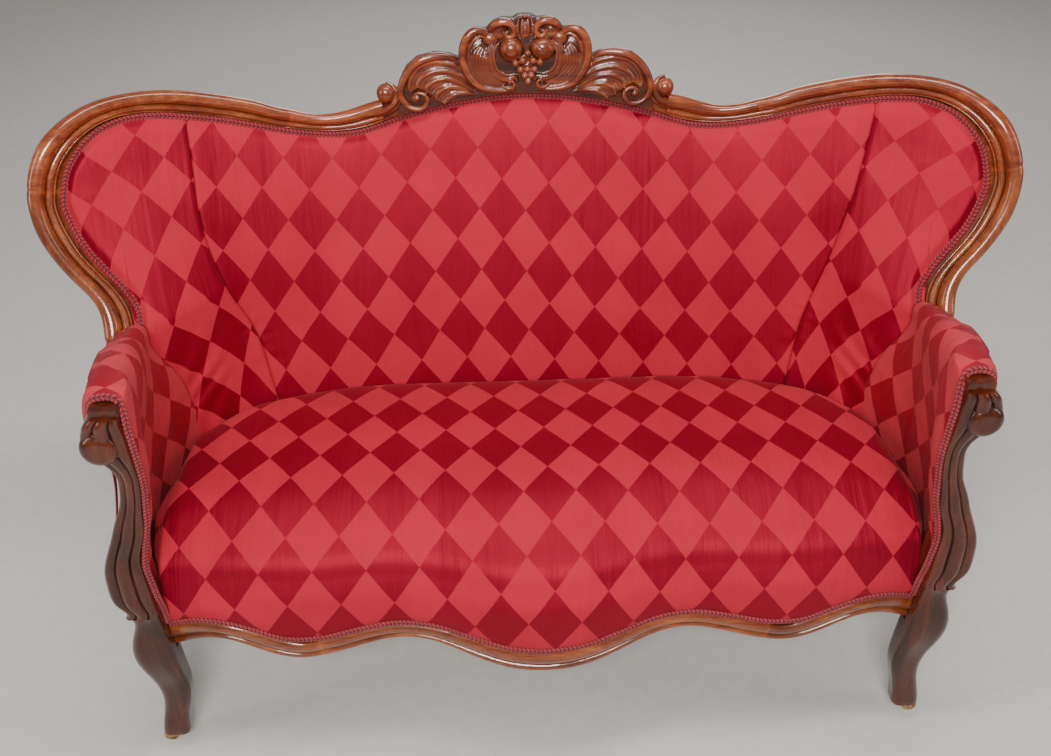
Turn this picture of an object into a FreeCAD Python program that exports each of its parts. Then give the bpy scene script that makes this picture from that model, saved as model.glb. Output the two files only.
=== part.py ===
import FreeCAD, Part
import math
import os
from FreeCAD import Placement, Rotation, Vector

# Carved show-wood settee with a serpentine seat rail, built the way a chair maker builds one.
# Lengths are millimetres. +X is to the viewer's right, -Y is the front, +Z is up.
# Every piece is drawn with y = 0 on the line through the two front legs and z = 0 on the floor.

SIZES = {
    # whole piece
    "overall_width": 1607.0,
    "overall_height": 1036.0,
    "body_gap": 0.3,
    "soft_gap": 0.5,
    # face of the back frame
    "back_rake": 12.0,
    "back_face_depth": 636.0,
    "back_face_height": 899.0,
    "back_bow": 223.0,
    "wing_sweep": 137.0,
    # show-wood back frame
    "frame_depth": 44.0,
    "frame_ledge": 14.0,
    "frame_ledge_depth": 21.0,
    "crest_rail_core_height": 46.0,
    # carved crest
    "crest_half_length": 222.5,
    "crest_relief": 24.0,
    "crest_ball_diameter": 33.0,
    "crest_volute_diameter": 38.0,
    "fruit_diameter": 43.0,
    "grape_diameter": 11.0,
    "crest_rib_width": 15.0,
    # hidden back frame
    "upright_width": 40.0,
    "upright_thickness": 22.5,
    "tack_rail_height": 48.0,
    "tack_rail_rise": 36.0,
    "post_width": 26.0,
    "post_thickness": 24.0,
    "back_foot_reach": 92.0,
    "back_foot_width": 34.0,
    "back_foot_thickness": 30.0,
    # front legs and arm posts
    "leg_spacing": 1274.0,
    "leg_height": 335.0,
    "foot_height": 36.0,
    "foot_width": 46.0,
    "leg_top_width": 50.0,
    "leg_top_depth": 66.0,
    "arm_post_height": 404.0,
    "arm_post_depth": 58.0,
    "arm_post_width": 66.0,
    "arm_knob_diameter": 56.0,
    "plaque_thickness": 13.0,
    "plaque_width": 40.0,
    # seat rails
    "rail_top": 315.0,
    "rail_web_level": 262.7,
    "front_rail_bow": 66.0,
    "front_rail_low": 218.0,
    "front_rail_arch": 42.5,
    "front_rail_face": 41.5,
    "front_rail_thickness": 36.0,
    "front_rail_lip": 24.0,
    "tack_step": 6.0,
    "tack_gap": 2.2,
    "rail_bead": 3.4,
    "side_rail_thickness": 26.0,
    "corner_block": 48.0,
    "brace_width": 40.0,
    "brace_height": 24.0,
    # seat upholstery
    "web_width": 50.0,
    "web_thickness": 1.6,
    "dust_cover_thickness": 1.0,
    "spring_height": 121.0,
    "spring_diameter": 76.0,
    "spring_waist": 58.0,
    "spring_wire": 3.5,
    "hessian_thickness": 1.3,
    "seat_edge_height": 378.0,
    "seat_crown": 79.0,
    "seat_nose": 20.0,
    "seat_depth": 529.0,
    "cover_thickness": 2.0,
    # back upholstery
    "back_pad_low": 345.0,
    "back_pad_proud": 33.0,
    "pad_edge_depth": 9.0,
    "pad_edge_gap": 3.2,
    "pad_flange": 13.0,
    "outside_back_low": 266.0,
    # arm upholstery
    "arm_width": 78.0,
    "arm_rise": 420.0,
    "arm_rail_size": 24.0,
    "outside_cover_thickness": 1.5,
    # braid
    "gimp_width": 11.0,
    "gimp_thickness": 2.4,
    # casters
    "caster_plate_diameter": 30.0,
    "caster_plate_thickness": 2.7,
    "caster_stem_diameter": 7.0,
    "caster_stem_length": 30.0,
    "caster_bore_gap": 0.05,
    "caster_trail": 16.0,
    "caster_horn_thickness": 3.5,
    "caster_horn_width": 20.0,
    "wheel_diameter": 26.0,
    "wheel_width": 12.0,
    "axle_diameter": 4.0,
    "screw_diameter": 3.0,
    "screw_length": 14.0,
    # joints
    "dowel_diameter": 8.0,
    "dowel_length": 44.0,
}

doc = FreeCAD.newDocument("settee")
sheet = doc.addObject("Spreadsheet::Sheet", "sizes")
for row, name in enumerate(SIZES, start=1):
    sheet.set("A%d" % row, name)
    sheet.set("B%d" % row, str(SIZES[name]))
    sheet.setAlias("B%d" % row, name)
doc.recompute()


class Sizes:
    """The sheet's values under their own names."""


size = Sizes()
for name in SIZES:
    setattr(size, name, float(sheet.get(name)))

half_width = size.overall_width / 2
leg_x = size.leg_spacing / 2
rail_half = leg_x - size.leg_top_width / 2
rake = math.radians(size.back_rake)

# Outline of the back frame, right half, from the crest's end to the foot of the stile.
# Each row is one place along the frame: outer x, outer z, inner x, inner z.
# x is a share of the half width and z a share of the height.
FRAME_SHARES = [
    (0.3111, 0.8678, 0.3111, 0.8301),
    (0.3634, 0.8571, 0.3609, 0.8195),
    (0.4070, 0.8494, 0.4057, 0.8171),
    (0.4505, 0.8494, 0.4530, 0.8205),
    (0.5040, 0.8615, 0.5128, 0.8301),
    (0.5663, 0.8803, 0.5787, 0.8465),
    (0.6347, 0.8996, 0.6472, 0.8649),
    (0.7094, 0.9180, 0.7156, 0.8818),
    (0.7716, 0.9286, 0.7716, 0.8938),
    (0.8314, 0.9329, 0.8214, 0.8986),
    (0.8861, 0.9286, 0.8650, 0.8938),
    (0.9334, 0.9131, 0.8986, 0.8803),
    (0.9683, 0.8890, 0.9272, 0.8581),
    (0.9863, 0.8620, 0.9434, 0.8359),
    (0.9963, 0.8311, 0.9515, 0.8108),
    (0.9994, 0.8031, 0.9533, 0.7925),
    (0.9938, 0.7770, 0.9484, 0.7751),
    (0.9801, 0.7481, 0.9353, 0.7490),
    (0.9558, 0.7162, 0.9147, 0.7201),
    (0.9266, 0.6863, 0.8861, 0.6911),
    (0.8992, 0.6583, 0.8550, 0.6602),
    (0.8849, 0.6293, 0.8339, 0.6255),
    (0.8799, 0.6042, 0.8351, 0.5830),
]
CREST_JOINT = 4
EAR_JOINT = 14

# Lower edge of the crest, centre to right: x share of the half width, z share of the height.
CREST_LINE_SHARES = [
    (0.0, 0.8726),
    (0.0373, 0.8716),
    (0.0809, 0.8692),
    (0.1245, 0.8644),
    (0.1680, 0.8591),
    (0.2116, 0.8514),
    (0.2551, 0.8436),
    (0.2962, 0.8344),
]
FLAT_SHARE = 0.3111
WING_START_SHARE = 0.6223
WING_RUN_SHARE = 0.2489
WING_TOP_SHARE = 0.8301
WING_FALL_SHARE = 0.3185
STILE_FOOT_SHARE = 0.5936
UPRIGHT_SHARE = 0.6223
SEAM_SHARE = 0.6347
WING_EDGE_SHARE = 0.8152

# Back frame moulding: places across from the outer edge and behind the face, both as shares
# of the moulding's own width.
OUTER_BAND_SHARES = [(0.0, 0.11), (0.28, -0.16), (0.58, 0.09)]
INNER_BEAD_SHARES = [(0.61, 0.20), (0.75, 0.07), (0.89, 0.19)]
FINE_BEAD_SHARES = [(0.91, 0.26), (0.955, 0.23), (1.0, 0.28)]
BACK_CORNER_SHARE = 0.92
OUTER_SIDE_SHARE = 0.10
OUTER_BACK_SHARE = 0.52


def smooth(share):
    share = min(1.0, max(0.0, share))
    return share * share * (3 - 2 * share)


def face_y(x, z):
    """Depth of the back's face: raked, bowed forward at the ends and swept forward low down."""
    across = abs(x) / half_width
    out = max(0.0, (across - FLAT_SHARE) / (1 - FLAT_SHARE))
    side = smooth((across - WING_START_SHARE) / WING_RUN_SHARE)
    top = size.overall_height * WING_TOP_SHARE
    fall = size.overall_height * WING_FALL_SHARE
    foot = size.overall_height * STILE_FOOT_SHARE
    sweep = size.wing_sweep * smooth((top - max(z, foot)) / fall)
    if z < foot:
        sweep -= math.tan(rake) * (foot - z)
    flat = size.back_face_depth + math.tan(rake) * (z - size.back_face_height)
    return flat - size.back_bow * out * out - side * sweep


def face_slopes(x, z):
    step = size.overall_width / 1000
    dx = (face_y(x + step, z) - face_y(x - step, z)) / (2 * step)
    dz = (face_y(x, z + step) - face_y(x, z - step)) / (2 * step)
    return dx, dz


def face_normal(x, z):
    """Unit vector that points back out of the face."""
    dx, dz = face_slopes(x, z)
    return Vector(-dx, 1, -dz).normalize()


def behind(x, z, depth):
    """Point in the plane of constant x that lies a true depth behind the face."""
    dx, dz = face_slopes(x, z)
    reach = depth * math.sqrt(1 + dx * dx + dz * dz) / (1 + dz * dz)
    return Vector(x, face_y(x, z) + reach, z - reach * dz)


def edge(points):
    """A line through two points, or an arc through three."""
    if len(points) == 2:
        return Part.makeLine(points[0], points[1])
    start, middle, end = points
    chord = end.sub(start)
    off = middle.sub(start).cross(chord).Length / chord.Length
    if off < chord.Length / 20000:
        return Part.makeLine(start, end)
    return Part.Arc(start, middle, end).toShape()


def closed_wire(start, steps):
    """Closed wire from a start and steps: one point for a line, two for an arc."""
    edges = []
    here = start
    for step in steps:
        edges.append(edge([here] + list(step)))
        here = step[-1]
    if here.distanceToPoint(start) > size.body_gap / 100:
        edges.append(edge([here, start]))
    return Part.Wire(edges)


def loft(wires, ruled=False):
    return Part.makeLoft(wires, True, ruled)


def mirrored(shape):
    return shape.mirror(Vector(0, 0, 0), Vector(1, 0, 0))


def between(a, b, share):
    return a.add(b.sub(a).multiply(share))


def table(rows, value, column=1):
    """Straight-line reading of a table whose first column rises."""
    value = min(max(value, rows[0][0]), rows[-1][0])
    for low, high in zip(rows, rows[1:]):
        if value <= high[0]:
            share = (value - low[0]) / (high[0] - low[0])
            return low[column] + share * (high[column] - low[column])
    return rows[-1][column]


pieces = {}


def add(name, shape):
    feature = doc.addObject("Part::Feature", name)
    feature.Label = name
    feature.Shape = shape
    pieces[name] = feature
    return feature


def clear_of(shape, *names):
    """The shape less the named pieces that it touches."""
    for name in names:
        shape = shape.cut(pieces[name].Shape)
    return shape


# Back frame: a crest rail, two shoulder rails and two stiles, butted end to end
def frame_point(row):
    ox, oz, ix, iz = row
    outer = Vector(ox * half_width, 0, oz * size.overall_height)
    inner = Vector(ix * half_width, 0, iz * size.overall_height)
    outer.y = face_y(outer.x, outer.z)
    inner.y = face_y(inner.x, inner.z)
    return outer, inner


def frame_axes(row):
    outer, inner = frame_point(row)
    across = inner.sub(outer)
    width = across.Length
    across.normalize()
    middle = between(outer, inner, 0.5)
    back = face_normal(middle.x, middle.z)
    back = back.sub(Vector(across).multiply(back.dot(across))).normalize()
    return outer, across, back, width


def frame_spot(row, share, depth, extra=0.0):
    outer, across, back, width = frame_axes(row)
    reach = share * width + extra
    return outer.add(Vector(across).multiply(reach)).add(Vector(back).multiply(depth))


def frame_section(row):
    width = frame_axes(row)[3]

    def shaped(place):
        return frame_spot(row, place[0], place[1] * width)

    def spot(share, depth, extra=0.0):
        return frame_spot(row, share, depth, extra)

    steps = [(shaped(OUTER_BAND_SHARES[0]),)]
    steps.append((shaped(OUTER_BAND_SHARES[1]), shaped(OUTER_BAND_SHARES[2])))
    steps.append((shaped(INNER_BEAD_SHARES[0]),))
    steps.append((shaped(INNER_BEAD_SHARES[1]), shaped(INNER_BEAD_SHARES[2])))
    steps.append((shaped(FINE_BEAD_SHARES[0]),))
    steps.append((shaped(FINE_BEAD_SHARES[1]), shaped(FINE_BEAD_SHARES[2])))
    steps.append((spot(1, size.frame_ledge_depth),))
    steps.append((spot(1, size.frame_ledge_depth, size.frame_ledge),))
    steps.append((spot(1, BACK_CORNER_SHARE * size.frame_depth, size.frame_ledge),))
    steps.append((spot(1, size.frame_depth),))
    steps.append((spot(OUTER_BACK_SHARE, size.frame_depth),))
    return closed_wire(spot(OUTER_SIDE_SHARE, size.frame_depth / 2), steps)


def dowel(centre, direction, slack=0.0):
    radius = size.dowel_diameter / 2 + slack
    start = centre.sub(Vector(direction).multiply(size.dowel_length / 2))
    return Part.makeCylinder(radius, size.dowel_length, start, direction)


dowels = []


def joint_dowel(centre, direction):
    """Dowel at a joint; returns the bore that both pieces get."""
    direction = Vector(direction).normalize()
    dowels.append(dowel(centre, direction))
    return dowel(centre, direction, size.caster_bore_gap)


def station_direction(index):
    before, ahead = FRAME_SHARES[index - 1], FRAME_SHARES[index + 1]
    return frame_spot(ahead, 0.4, 0).sub(frame_spot(before, 0.4, 0))


FRAME_DOWEL_SHARE = 0.45
dowel_depth = size.frame_depth * 0.6
crest_bore = joint_dowel(
    frame_spot(FRAME_SHARES[CREST_JOINT], FRAME_DOWEL_SHARE, dowel_depth),
    station_direction(CREST_JOINT))
ear_bore = joint_dowel(
    frame_spot(FRAME_SHARES[EAR_JOINT], FRAME_DOWEL_SHARE, dowel_depth),
    station_direction(EAR_JOINT))

shoulder = loft([frame_section(row) for row in FRAME_SHARES[CREST_JOINT:EAR_JOINT + 1]])
shoulder = shoulder.cut(crest_bore).cut(ear_bore)
add("shoulder_rail_right", shoulder)
add("shoulder_rail_left", mirrored(shoulder))

crest_end = loft([frame_section(row) for row in FRAME_SHARES[:CREST_JOINT + 1]])


def crest_line_z(x):
    rows = [(a * half_width, b * size.overall_height) for a, b in CREST_LINE_SHARES]
    rows.append((FRAME_SHARES[0][2] * half_width, FRAME_SHARES[0][3] * size.overall_height))
    return table(rows, abs(x))


def core_section(x):
    """Plain core of the crest rail behind the carving, with the tacking ledge below."""
    low = crest_line_z(x)
    ledge = size.frame_ledge_depth
    top = low + size.crest_rail_core_height * math.cos(rake)
    under = low - size.frame_ledge * math.cos(rake)
    corner = size.frame_depth * BACK_CORNER_SHARE
    steps = [(behind(x, under, ledge),), (behind(x, under, corner),)]
    steps.append((behind(x, low, size.frame_depth),))
    steps.append((behind(x, top, size.frame_depth),))
    return closed_wire(behind(x, top, ledge), steps)


core_places = [share * half_width for share, _ in CREST_LINE_SHARES[::2]]
core_places.append(FRAME_SHARES[0][0] * half_width + 4 * size.body_gap)
core_places = [-x for x in core_places[:0:-1]] + core_places
crest_core = loft([core_section(x) for x in core_places], True)
crest_rail = crest_core.fuse([crest_end.cut(crest_bore), mirrored(crest_end.cut(crest_bore))])
crest_rail = crest_rail.removeSplitter()
add("crest_rail", crest_rail)

# Stile with its hidden lower post, which stands on the side seat rail
stile = loft([frame_section(row) for row in FRAME_SHARES[EAR_JOINT:]])
post_head = frame_spot(FRAME_SHARES[-2], 0.68, size.frame_depth / 2)


def post_quad(centre, width, thickness):
    corners = [(-1, -1), (1, -1), (1, 1), (-1, 1)]
    points = []
    for across, along in corners:
        points.append(centre.add(Vector(across * width / 2, along * thickness / 2, 0)))
    return closed_wire(points[0], [(p,) for p in points[1:]])


post_foot_x = half_width * 0.823
post_foot = Vector(post_foot_x, face_y(post_foot_x, size.rail_top), size.rail_top)
post_foot.y += size.frame_depth / 2
lower_post = loft([
    post_quad(post_foot, size.post_width, size.post_thickness),
    post_quad(post_head, size.post_width, size.post_thickness)], True)
stile = stile.cut(ear_bore).fuse(lower_post).removeSplitter()
add("back_stile_right", stile)
add("back_stile_left", mirrored(stile))

# Rear legs: one piece with the back uprights, raked back below the seat
upright_x = half_width * UPRIGHT_SHARE
upright_top = 0.0
for low, high in zip(FRAME_SHARES, FRAME_SHARES[1:]):
    if low[2] <= UPRIGHT_SHARE <= high[2]:
        share = (UPRIGHT_SHARE - low[2]) / (high[2] - low[2])
        upright_top = (low[3] + share * (high[3] - low[3])) * size.overall_height
ledge_slope = 0.50
upright_top -= size.frame_ledge + ledge_slope * size.upright_width / 2 + size.body_gap
upright_back = size.frame_ledge_depth + size.upright_thickness


def leg_profile(x):
    """Side outline of the rear leg and upright at one of its two sides."""
    front_top = behind(x, upright_top, size.frame_ledge_depth)
    back_top = behind(x, upright_top, upright_back)
    front_low = behind(x, size.rail_web_level, size.frame_ledge_depth)
    back_low = behind(x, size.rail_web_level, upright_back)
    reach = behind(upright_x, size.rail_web_level, upright_back).y + size.back_foot_reach
    foot_back = Vector(x, reach, 0)
    foot_front = Vector(x, reach - size.back_foot_thickness, 0)
    knee = Vector(0, -size.upright_thickness * KNEE_SHARE, 0)
    front_knee = between(front_low, foot_front, 0.45).add(knee)
    back_knee = between(back_low, foot_back, 0.45).add(knee)
    return closed_wire(front_top, [
        (front_low,), (front_knee, foot_front), (foot_back,), (back_knee, back_low), (back_top,)])


KNEE_SHARE = 0.4
back_leg = loft([leg_profile(upright_x - size.upright_width / 2),
                 leg_profile(upright_x + size.upright_width / 2)], True)
add("back_leg_right", back_leg)
add("back_leg_left", mirrored(back_leg))


# Rails that follow the back's face between the uprights and out to the stiles
def curved_rail(places, low, high, front, back):
    wires = []
    for x in places:
        steps = [(behind(x, low, back),), (behind(x, high, back),), (behind(x, high, front),)]
        wires.append(closed_wire(behind(x, low, front), steps))
    return loft(wires, True)


between_uprights = upright_x - size.upright_width / 2
RAIL_PLACE_SHARES = [0.0, 0.3, 0.52, 0.60, 0.68, 0.76, 0.84, 0.92, 1.0]
rail_places = [share * between_uprights for share in RAIL_PLACE_SHARES]
rail_places = [-x for x in rail_places[:0:-1]] + rail_places


def seat_rail_section(x):
    front = face_y(x, size.rail_web_level) + size.frame_ledge_depth
    back = front + size.upright_thickness
    low, high = size.rail_web_level, size.rail_top
    steps = [(Vector(x, back, low),), (Vector(x, back, high),), (Vector(x, front, high),)]
    return closed_wire(Vector(x, front, low), steps)


add("back_seat_rail", loft([seat_rail_section(x) for x in rail_places], True))
tack_low = size.rail_top + size.tack_rail_rise
tack_high = tack_low + size.tack_rail_height
add("back_tack_rail", curved_rail(
    rail_places, tack_low, tack_high, size.frame_ledge_depth, upright_back))
wing_rail_start = upright_x + size.upright_width / 2
wing_rail_end = post_foot.x - size.post_width / 2 - size.body_gap
wing_places = [wing_rail_start + share * (wing_rail_end - wing_rail_start)
               for share in (0.0, 0.12, 0.24, 0.36, 0.48, 0.60, 0.72, 0.86, 1.0)]
wing_rail = curved_rail(
    wing_places, tack_low, tack_high, size.frame_ledge_depth, upright_back)
add("wing_tack_rails", Part.makeCompound([mirrored(wing_rail), wing_rail]))

# Front legs: cabriole, each with its square block for the rails
# Rows: share of the leg's height, centre off the leg line, width, centre forward, depth.
# Sideways and forward places are shares of the block's width and depth.
LEG_SHARES = [
    (0.1075, 0.00, 0.92, -0.08, 0.66),
    (0.18, -0.06, 0.89, -0.07, 0.65),
    (0.27, -0.18, 0.87, -0.04, 0.64),
    (0.39, -0.30, 0.96, 0.00, 0.70),
    (0.49, -0.24, 1.05, 0.02, 0.78),
    (0.60, -0.10, 1.20, 0.00, 0.92),
    (0.73, 0.02, 1.28, 0.00, 1.02),
    (0.85, -0.02, 1.05, 0.05, 0.98),
    (1.0, 0.00, 1.00, 0.06, 1.00),
]
LEG_CORNER_SHARE = 0.30


def rounded_quad(centre, width, depth, corner_share):
    """Rounded rectangle at one height, eight edges, from the back left corner."""
    r = min(width, depth) * corner_share
    inner = r * (1 - math.sqrt(0.5))
    w, d = width / 2, depth / 2
    start = centre.add(Vector(-w + r, d, 0))
    steps = []
    turns = [(1, 1), (1, -1), (-1, -1), (-1, 1)]
    for index, (sx, sy) in enumerate(turns):
        corner = centre.add(Vector(sx * w, sy * d, 0))
        middle = corner.add(Vector(-sx * inner, -sy * inner, 0))
        first = corner.add(Vector(-sx * r, 0, 0))
        second = corner.add(Vector(0, -sy * r, 0))
        if index % 2:
            first, second = second, first
        steps.append((first,))
        steps.append((middle, second))
    return closed_wire(start, steps)


leg_wires = []
for level, side, width, fore, depth in LEG_SHARES:
    z = size.foot_height if level < 0.11 else level * size.leg_height
    centre = Vector(leg_x + side * size.leg_top_width, fore * size.leg_top_depth, z)
    base = size.foot_width / 0.92
    leg_wires.append(rounded_quad(
        centre, width * (base if level < 0.3 else size.leg_top_width),
        depth * size.leg_top_depth, LEG_CORNER_SHARE))
front_leg = loft(leg_wires)

# Rail plan and edges, centre to right. x is a share of the rail's half length, the face's
# depth a share of the bow, the lower edge a share of the arch above the lowest point, and the
# visible height a share of the height at the centre.
FRONT_RAIL_SHARES = [
    (0.0, -1.00, 0.00, 1.00),
    (0.098, -0.91, 0.07, 1.02),
    (0.196, -0.67, 0.42, 0.94),
    (0.294, -0.394, 0.84, 0.76),
    (0.392, -0.25, 0.90, 0.70),
    (0.490, -0.273, 0.56, 0.80),
    (0.6005, -0.333, 0.14, 0.89),
    (0.703, -0.303, 0.14, 0.94),
    (0.768, -0.25, 0.52, 0.96),
    (0.817, -0.197, 0.85, 0.86),
    (0.866, -0.13, 1.00, 0.83),
    (0.923, -0.05, 0.89, 0.92),
    (1.0, 0.076, 0.33, 1.10),
]
FRONT_JOINT = 6
RAIL_BEAD_SHARES = (0.05, 0.16, 0.30)
RAIL_BAND_SHARES = (0.35, 0.68, 0.985)
RAIL_BULGE_SHARE = 1.9


def rail_values(x):
    rows = [(row[0] * rail_half,) + row[1:] for row in FRONT_RAIL_SHARES]
    x = abs(x)
    face = table(rows, x, 1) * size.front_rail_bow
    low = size.front_rail_low + table(rows, x, 2) * size.front_rail_arch
    high = low + table(rows, x, 3) * size.front_rail_face
    return face, low, high


def rail_section(x):
    face, low, high = rail_values(x)
    tall = high - low
    bead = size.rail_bead

    def spot(back, z):
        return Vector(x, face + back, z)

    steps = [(spot(bead, low),)]
    steps.append((spot(-bead * 0.4, low + RAIL_BEAD_SHARES[1] * tall),
                  spot(bead * 0.6, low + RAIL_BEAD_SHARES[2] * tall)))
    steps.append((spot(bead * 0.9, low + RAIL_BAND_SHARES[0] * tall),))
    steps.append((spot(-bead * RAIL_BULGE_SHARE * 0.6, low + RAIL_BAND_SHARES[1] * tall),
                  spot(bead * 0.3, low + RAIL_BAND_SHARES[2] * tall)))
    steps.append((spot(size.tack_step, high),))
    steps.append((spot(size.tack_step, size.rail_top),))
    steps.append((spot(size.front_rail_thickness, size.rail_top),))
    steps.append((spot(size.front_rail_thickness, size.rail_web_level),))
    steps.append((spot(size.front_rail_lip, size.rail_web_level),))
    return closed_wire(spot(size.front_rail_lip, low), steps)


centre_rows = [row[0] * rail_half for row in FRONT_RAIL_SHARES[:FRONT_JOINT + 1]]
centre_places = [-x for x in centre_rows[:0:-1]] + centre_rows
side_places = [row[0] * rail_half for row in FRONT_RAIL_SHARES[FRONT_JOINT:]]
front_centre = loft([rail_section(x) for x in centre_places])
front_side = loft([rail_section(x) for x in side_places])


def rail_dowel_at(x, z):
    face = rail_values(x)[0]
    return Vector(x, face + size.front_rail_lip * 0.55, z)


joint_x = side_places[0]
dowel_level = (size.rail_web_level + size.rail_top) / 2
front_bore = joint_dowel(rail_dowel_at(joint_x, dowel_level - size.dowel_diameter), Vector(1, 0, 0))
leg_bore = joint_dowel(rail_dowel_at(rail_half, dowel_level), Vector(1, 0, 0))
front_centre = front_centre.cut(front_bore).cut(mirrored(front_bore))
front_side = front_side.cut(front_bore).cut(leg_bore)
add("front_seat_rail_centre", front_centre)
add("front_seat_rail_right", front_side)
add("front_seat_rail_left", mirrored(front_side))

# Arm posts: an S-curved reeded post with a scrolled knob
# Rows: share of the post's height, inner edge and outer edge off the leg line, depth.
# Edges are shares of the post's widest width; the depth is a share of the post's depth.
ARM_POST_SHARES = [
    (0.0, -0.38, 0.38, 1.00),
    (0.074, -0.38, 0.53, 1.00),
    (0.126, -0.356, 0.62, 0.98),
    (0.186, -0.333, 0.62, 0.95),
    (0.235, -0.31, 0.60, 0.92),
    (0.31, -0.325, 0.47, 0.86),
    (0.408, -0.515, 0.23, 0.82),
    (0.483, -0.59, 0.06, 0.80),
    (0.557, -0.65, -0.14, 0.78),
    (0.656, -0.74, -0.27, 0.80),
    (0.74, -0.77, -0.28, 0.86),
    (0.785, -0.77, -0.15, 0.92),
    (0.854, -0.77, 0.15, 1.00),
    (0.9, -0.76, 0.20, 1.00),
    (0.943, -0.74, 0.13, 1.00),
    (1.0, -0.73, -0.12, 1.00),
]
REED_SHARE = 0.16
GROOVE_SHARE = 0.05


def post_section(level, inner, outer, depth):
    z = size.leg_height + level * size.arm_post_height
    left = leg_x + inner * size.arm_post_width
    right = leg_x + outer * size.arm_post_width
    back = size.arm_post_depth / 2
    front = back - depth * size.arm_post_depth
    width = right - left
    bulge = REED_SHARE * width
    groove = GROOVE_SHARE * width

    def spot(share, y):
        return Vector(left + share * width, y, z)

    steps = [(spot(1, back),), (spot(1, front + bulge),)]
    steps.append((spot(0.93, front + 0.2 * bulge), spot(0.70, front + groove)))
    steps.append((spot(0.5, front - 0.5 * bulge), spot(0.30, front + groove)))
    steps.append((spot(0.07, front + 0.2 * bulge), spot(0, front + bulge)))
    return closed_wire(spot(0, back), steps)


arm_post = loft([post_section(*row) for row in ARM_POST_SHARES])
post_top = size.leg_height + size.arm_post_height
knob_radius = size.arm_knob_diameter / 2
knob_x = leg_x - 0.174 * size.arm_post_width
knob_z = size.leg_height + 0.869 * size.arm_post_height
knob_front = -size.arm_post_depth * 0.62
knob = Part.makeCylinder(
    knob_radius, size.arm_post_depth / 2 - knob_front, Vector(knob_x, knob_front, knob_z),
    Vector(0, 1, 0))
knob_edges = [e for e in knob.Edges
              if len(e.Vertexes) == 1 and abs(e.CenterOfMass.y - knob_front) < size.body_gap]
knob = knob.makeFillet(knob_radius * 0.5, knob_edges)
plaque_x = leg_x - 0.74 * size.arm_post_width
plaque = Part.makeBox(
    size.plaque_width, size.arm_post_depth * 0.9, size.plaque_thickness + size.body_gap,
    Vector(plaque_x, -size.arm_post_depth * 0.4, post_top - size.body_gap))
arm_post = arm_post.fuse([knob, plaque]).removeSplitter()

leg_dowel_centre = Vector(leg_x, 0, size.leg_height)
post_bore = joint_dowel(leg_dowel_centre, Vector(0, 0, 1))
arm_post = arm_post.cut(post_bore)
add("arm_post_right", arm_post)
add("arm_post_left", mirrored(arm_post))

# The block's inner side is cut flat where the front rail meets it
rail_end = rail_section(rail_half).BoundBox
seat_cut = Part.makeBox(
    size.leg_top_width, rail_end.YLength + 2 * size.body_gap, size.leg_height - rail_end.ZMin,
    Vector(rail_half - size.leg_top_width, rail_end.YMin - size.body_gap, rail_end.ZMin))
front_leg = front_leg.cut(seat_cut).cut(leg_bore).cut(post_bore)

# Side seat rails, curved in plan from the front leg's block to the rear leg
block_back = (0.06 + 0.5) * size.leg_top_depth
SIDE_RAIL_SHARES = [
    (0.998, 0.00),
    (1.024, 0.18),
    (1.043, 0.40),
    (1.050, 0.61),
    (1.035, 0.71),
    (0.95, 0.815),
    (0.785, 0.985),
]
rear_y = behind(upright_x, size.rail_top, upright_back / 2).y
side_line = [Vector(share * leg_x, block_back + along * (rear_y - block_back), 0)
             for share, along in SIDE_RAIL_SHARES]


def offset_line(points, distance):
    """Points moved sideways in plan, square to the line through their neighbours."""
    moved = []
    for index, point in enumerate(points):
        before = points[max(0, index - 1)]
        ahead = points[min(len(points) - 1, index + 1)]
        along = ahead.sub(before).normalize()
        moved.append(point.add(Vector(along.y, -along.x, 0).multiply(distance)))
    return moved


def level(points, z):
    return [Vector(p.x, p.y, z) for p in points]


def side_rail_shape():
    half = size.side_rail_thickness / 2
    outer = level(offset_line(side_line, half), size.rail_web_level)
    inner = level(offset_line(side_line, -half), size.rail_web_level)
    steps = [(outer[1], outer[2]), (outer[3], outer[4]), (outer[5], outer[6])]
    steps += [(inner[6],), (inner[5], inner[4]), (inner[3], inner[2]), (inner[1], inner[0])]
    rail = Part.Face(closed_wire(outer[0], steps)).extrude(
        Vector(0, 0, size.rail_top - size.rail_web_level))
    stop = upright_x + size.upright_width / 2
    keep = Part.makeBox(
        half_width, size.seat_depth * 2, size.rail_top,
        Vector(stop, block_back + size.body_gap, size.rail_web_level - size.body_gap))
    return rail.common(keep)


side_rail = side_rail_shape()
add("side_seat_rail_right", side_rail)
add("side_seat_rail_left", mirrored(side_rail))

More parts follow.
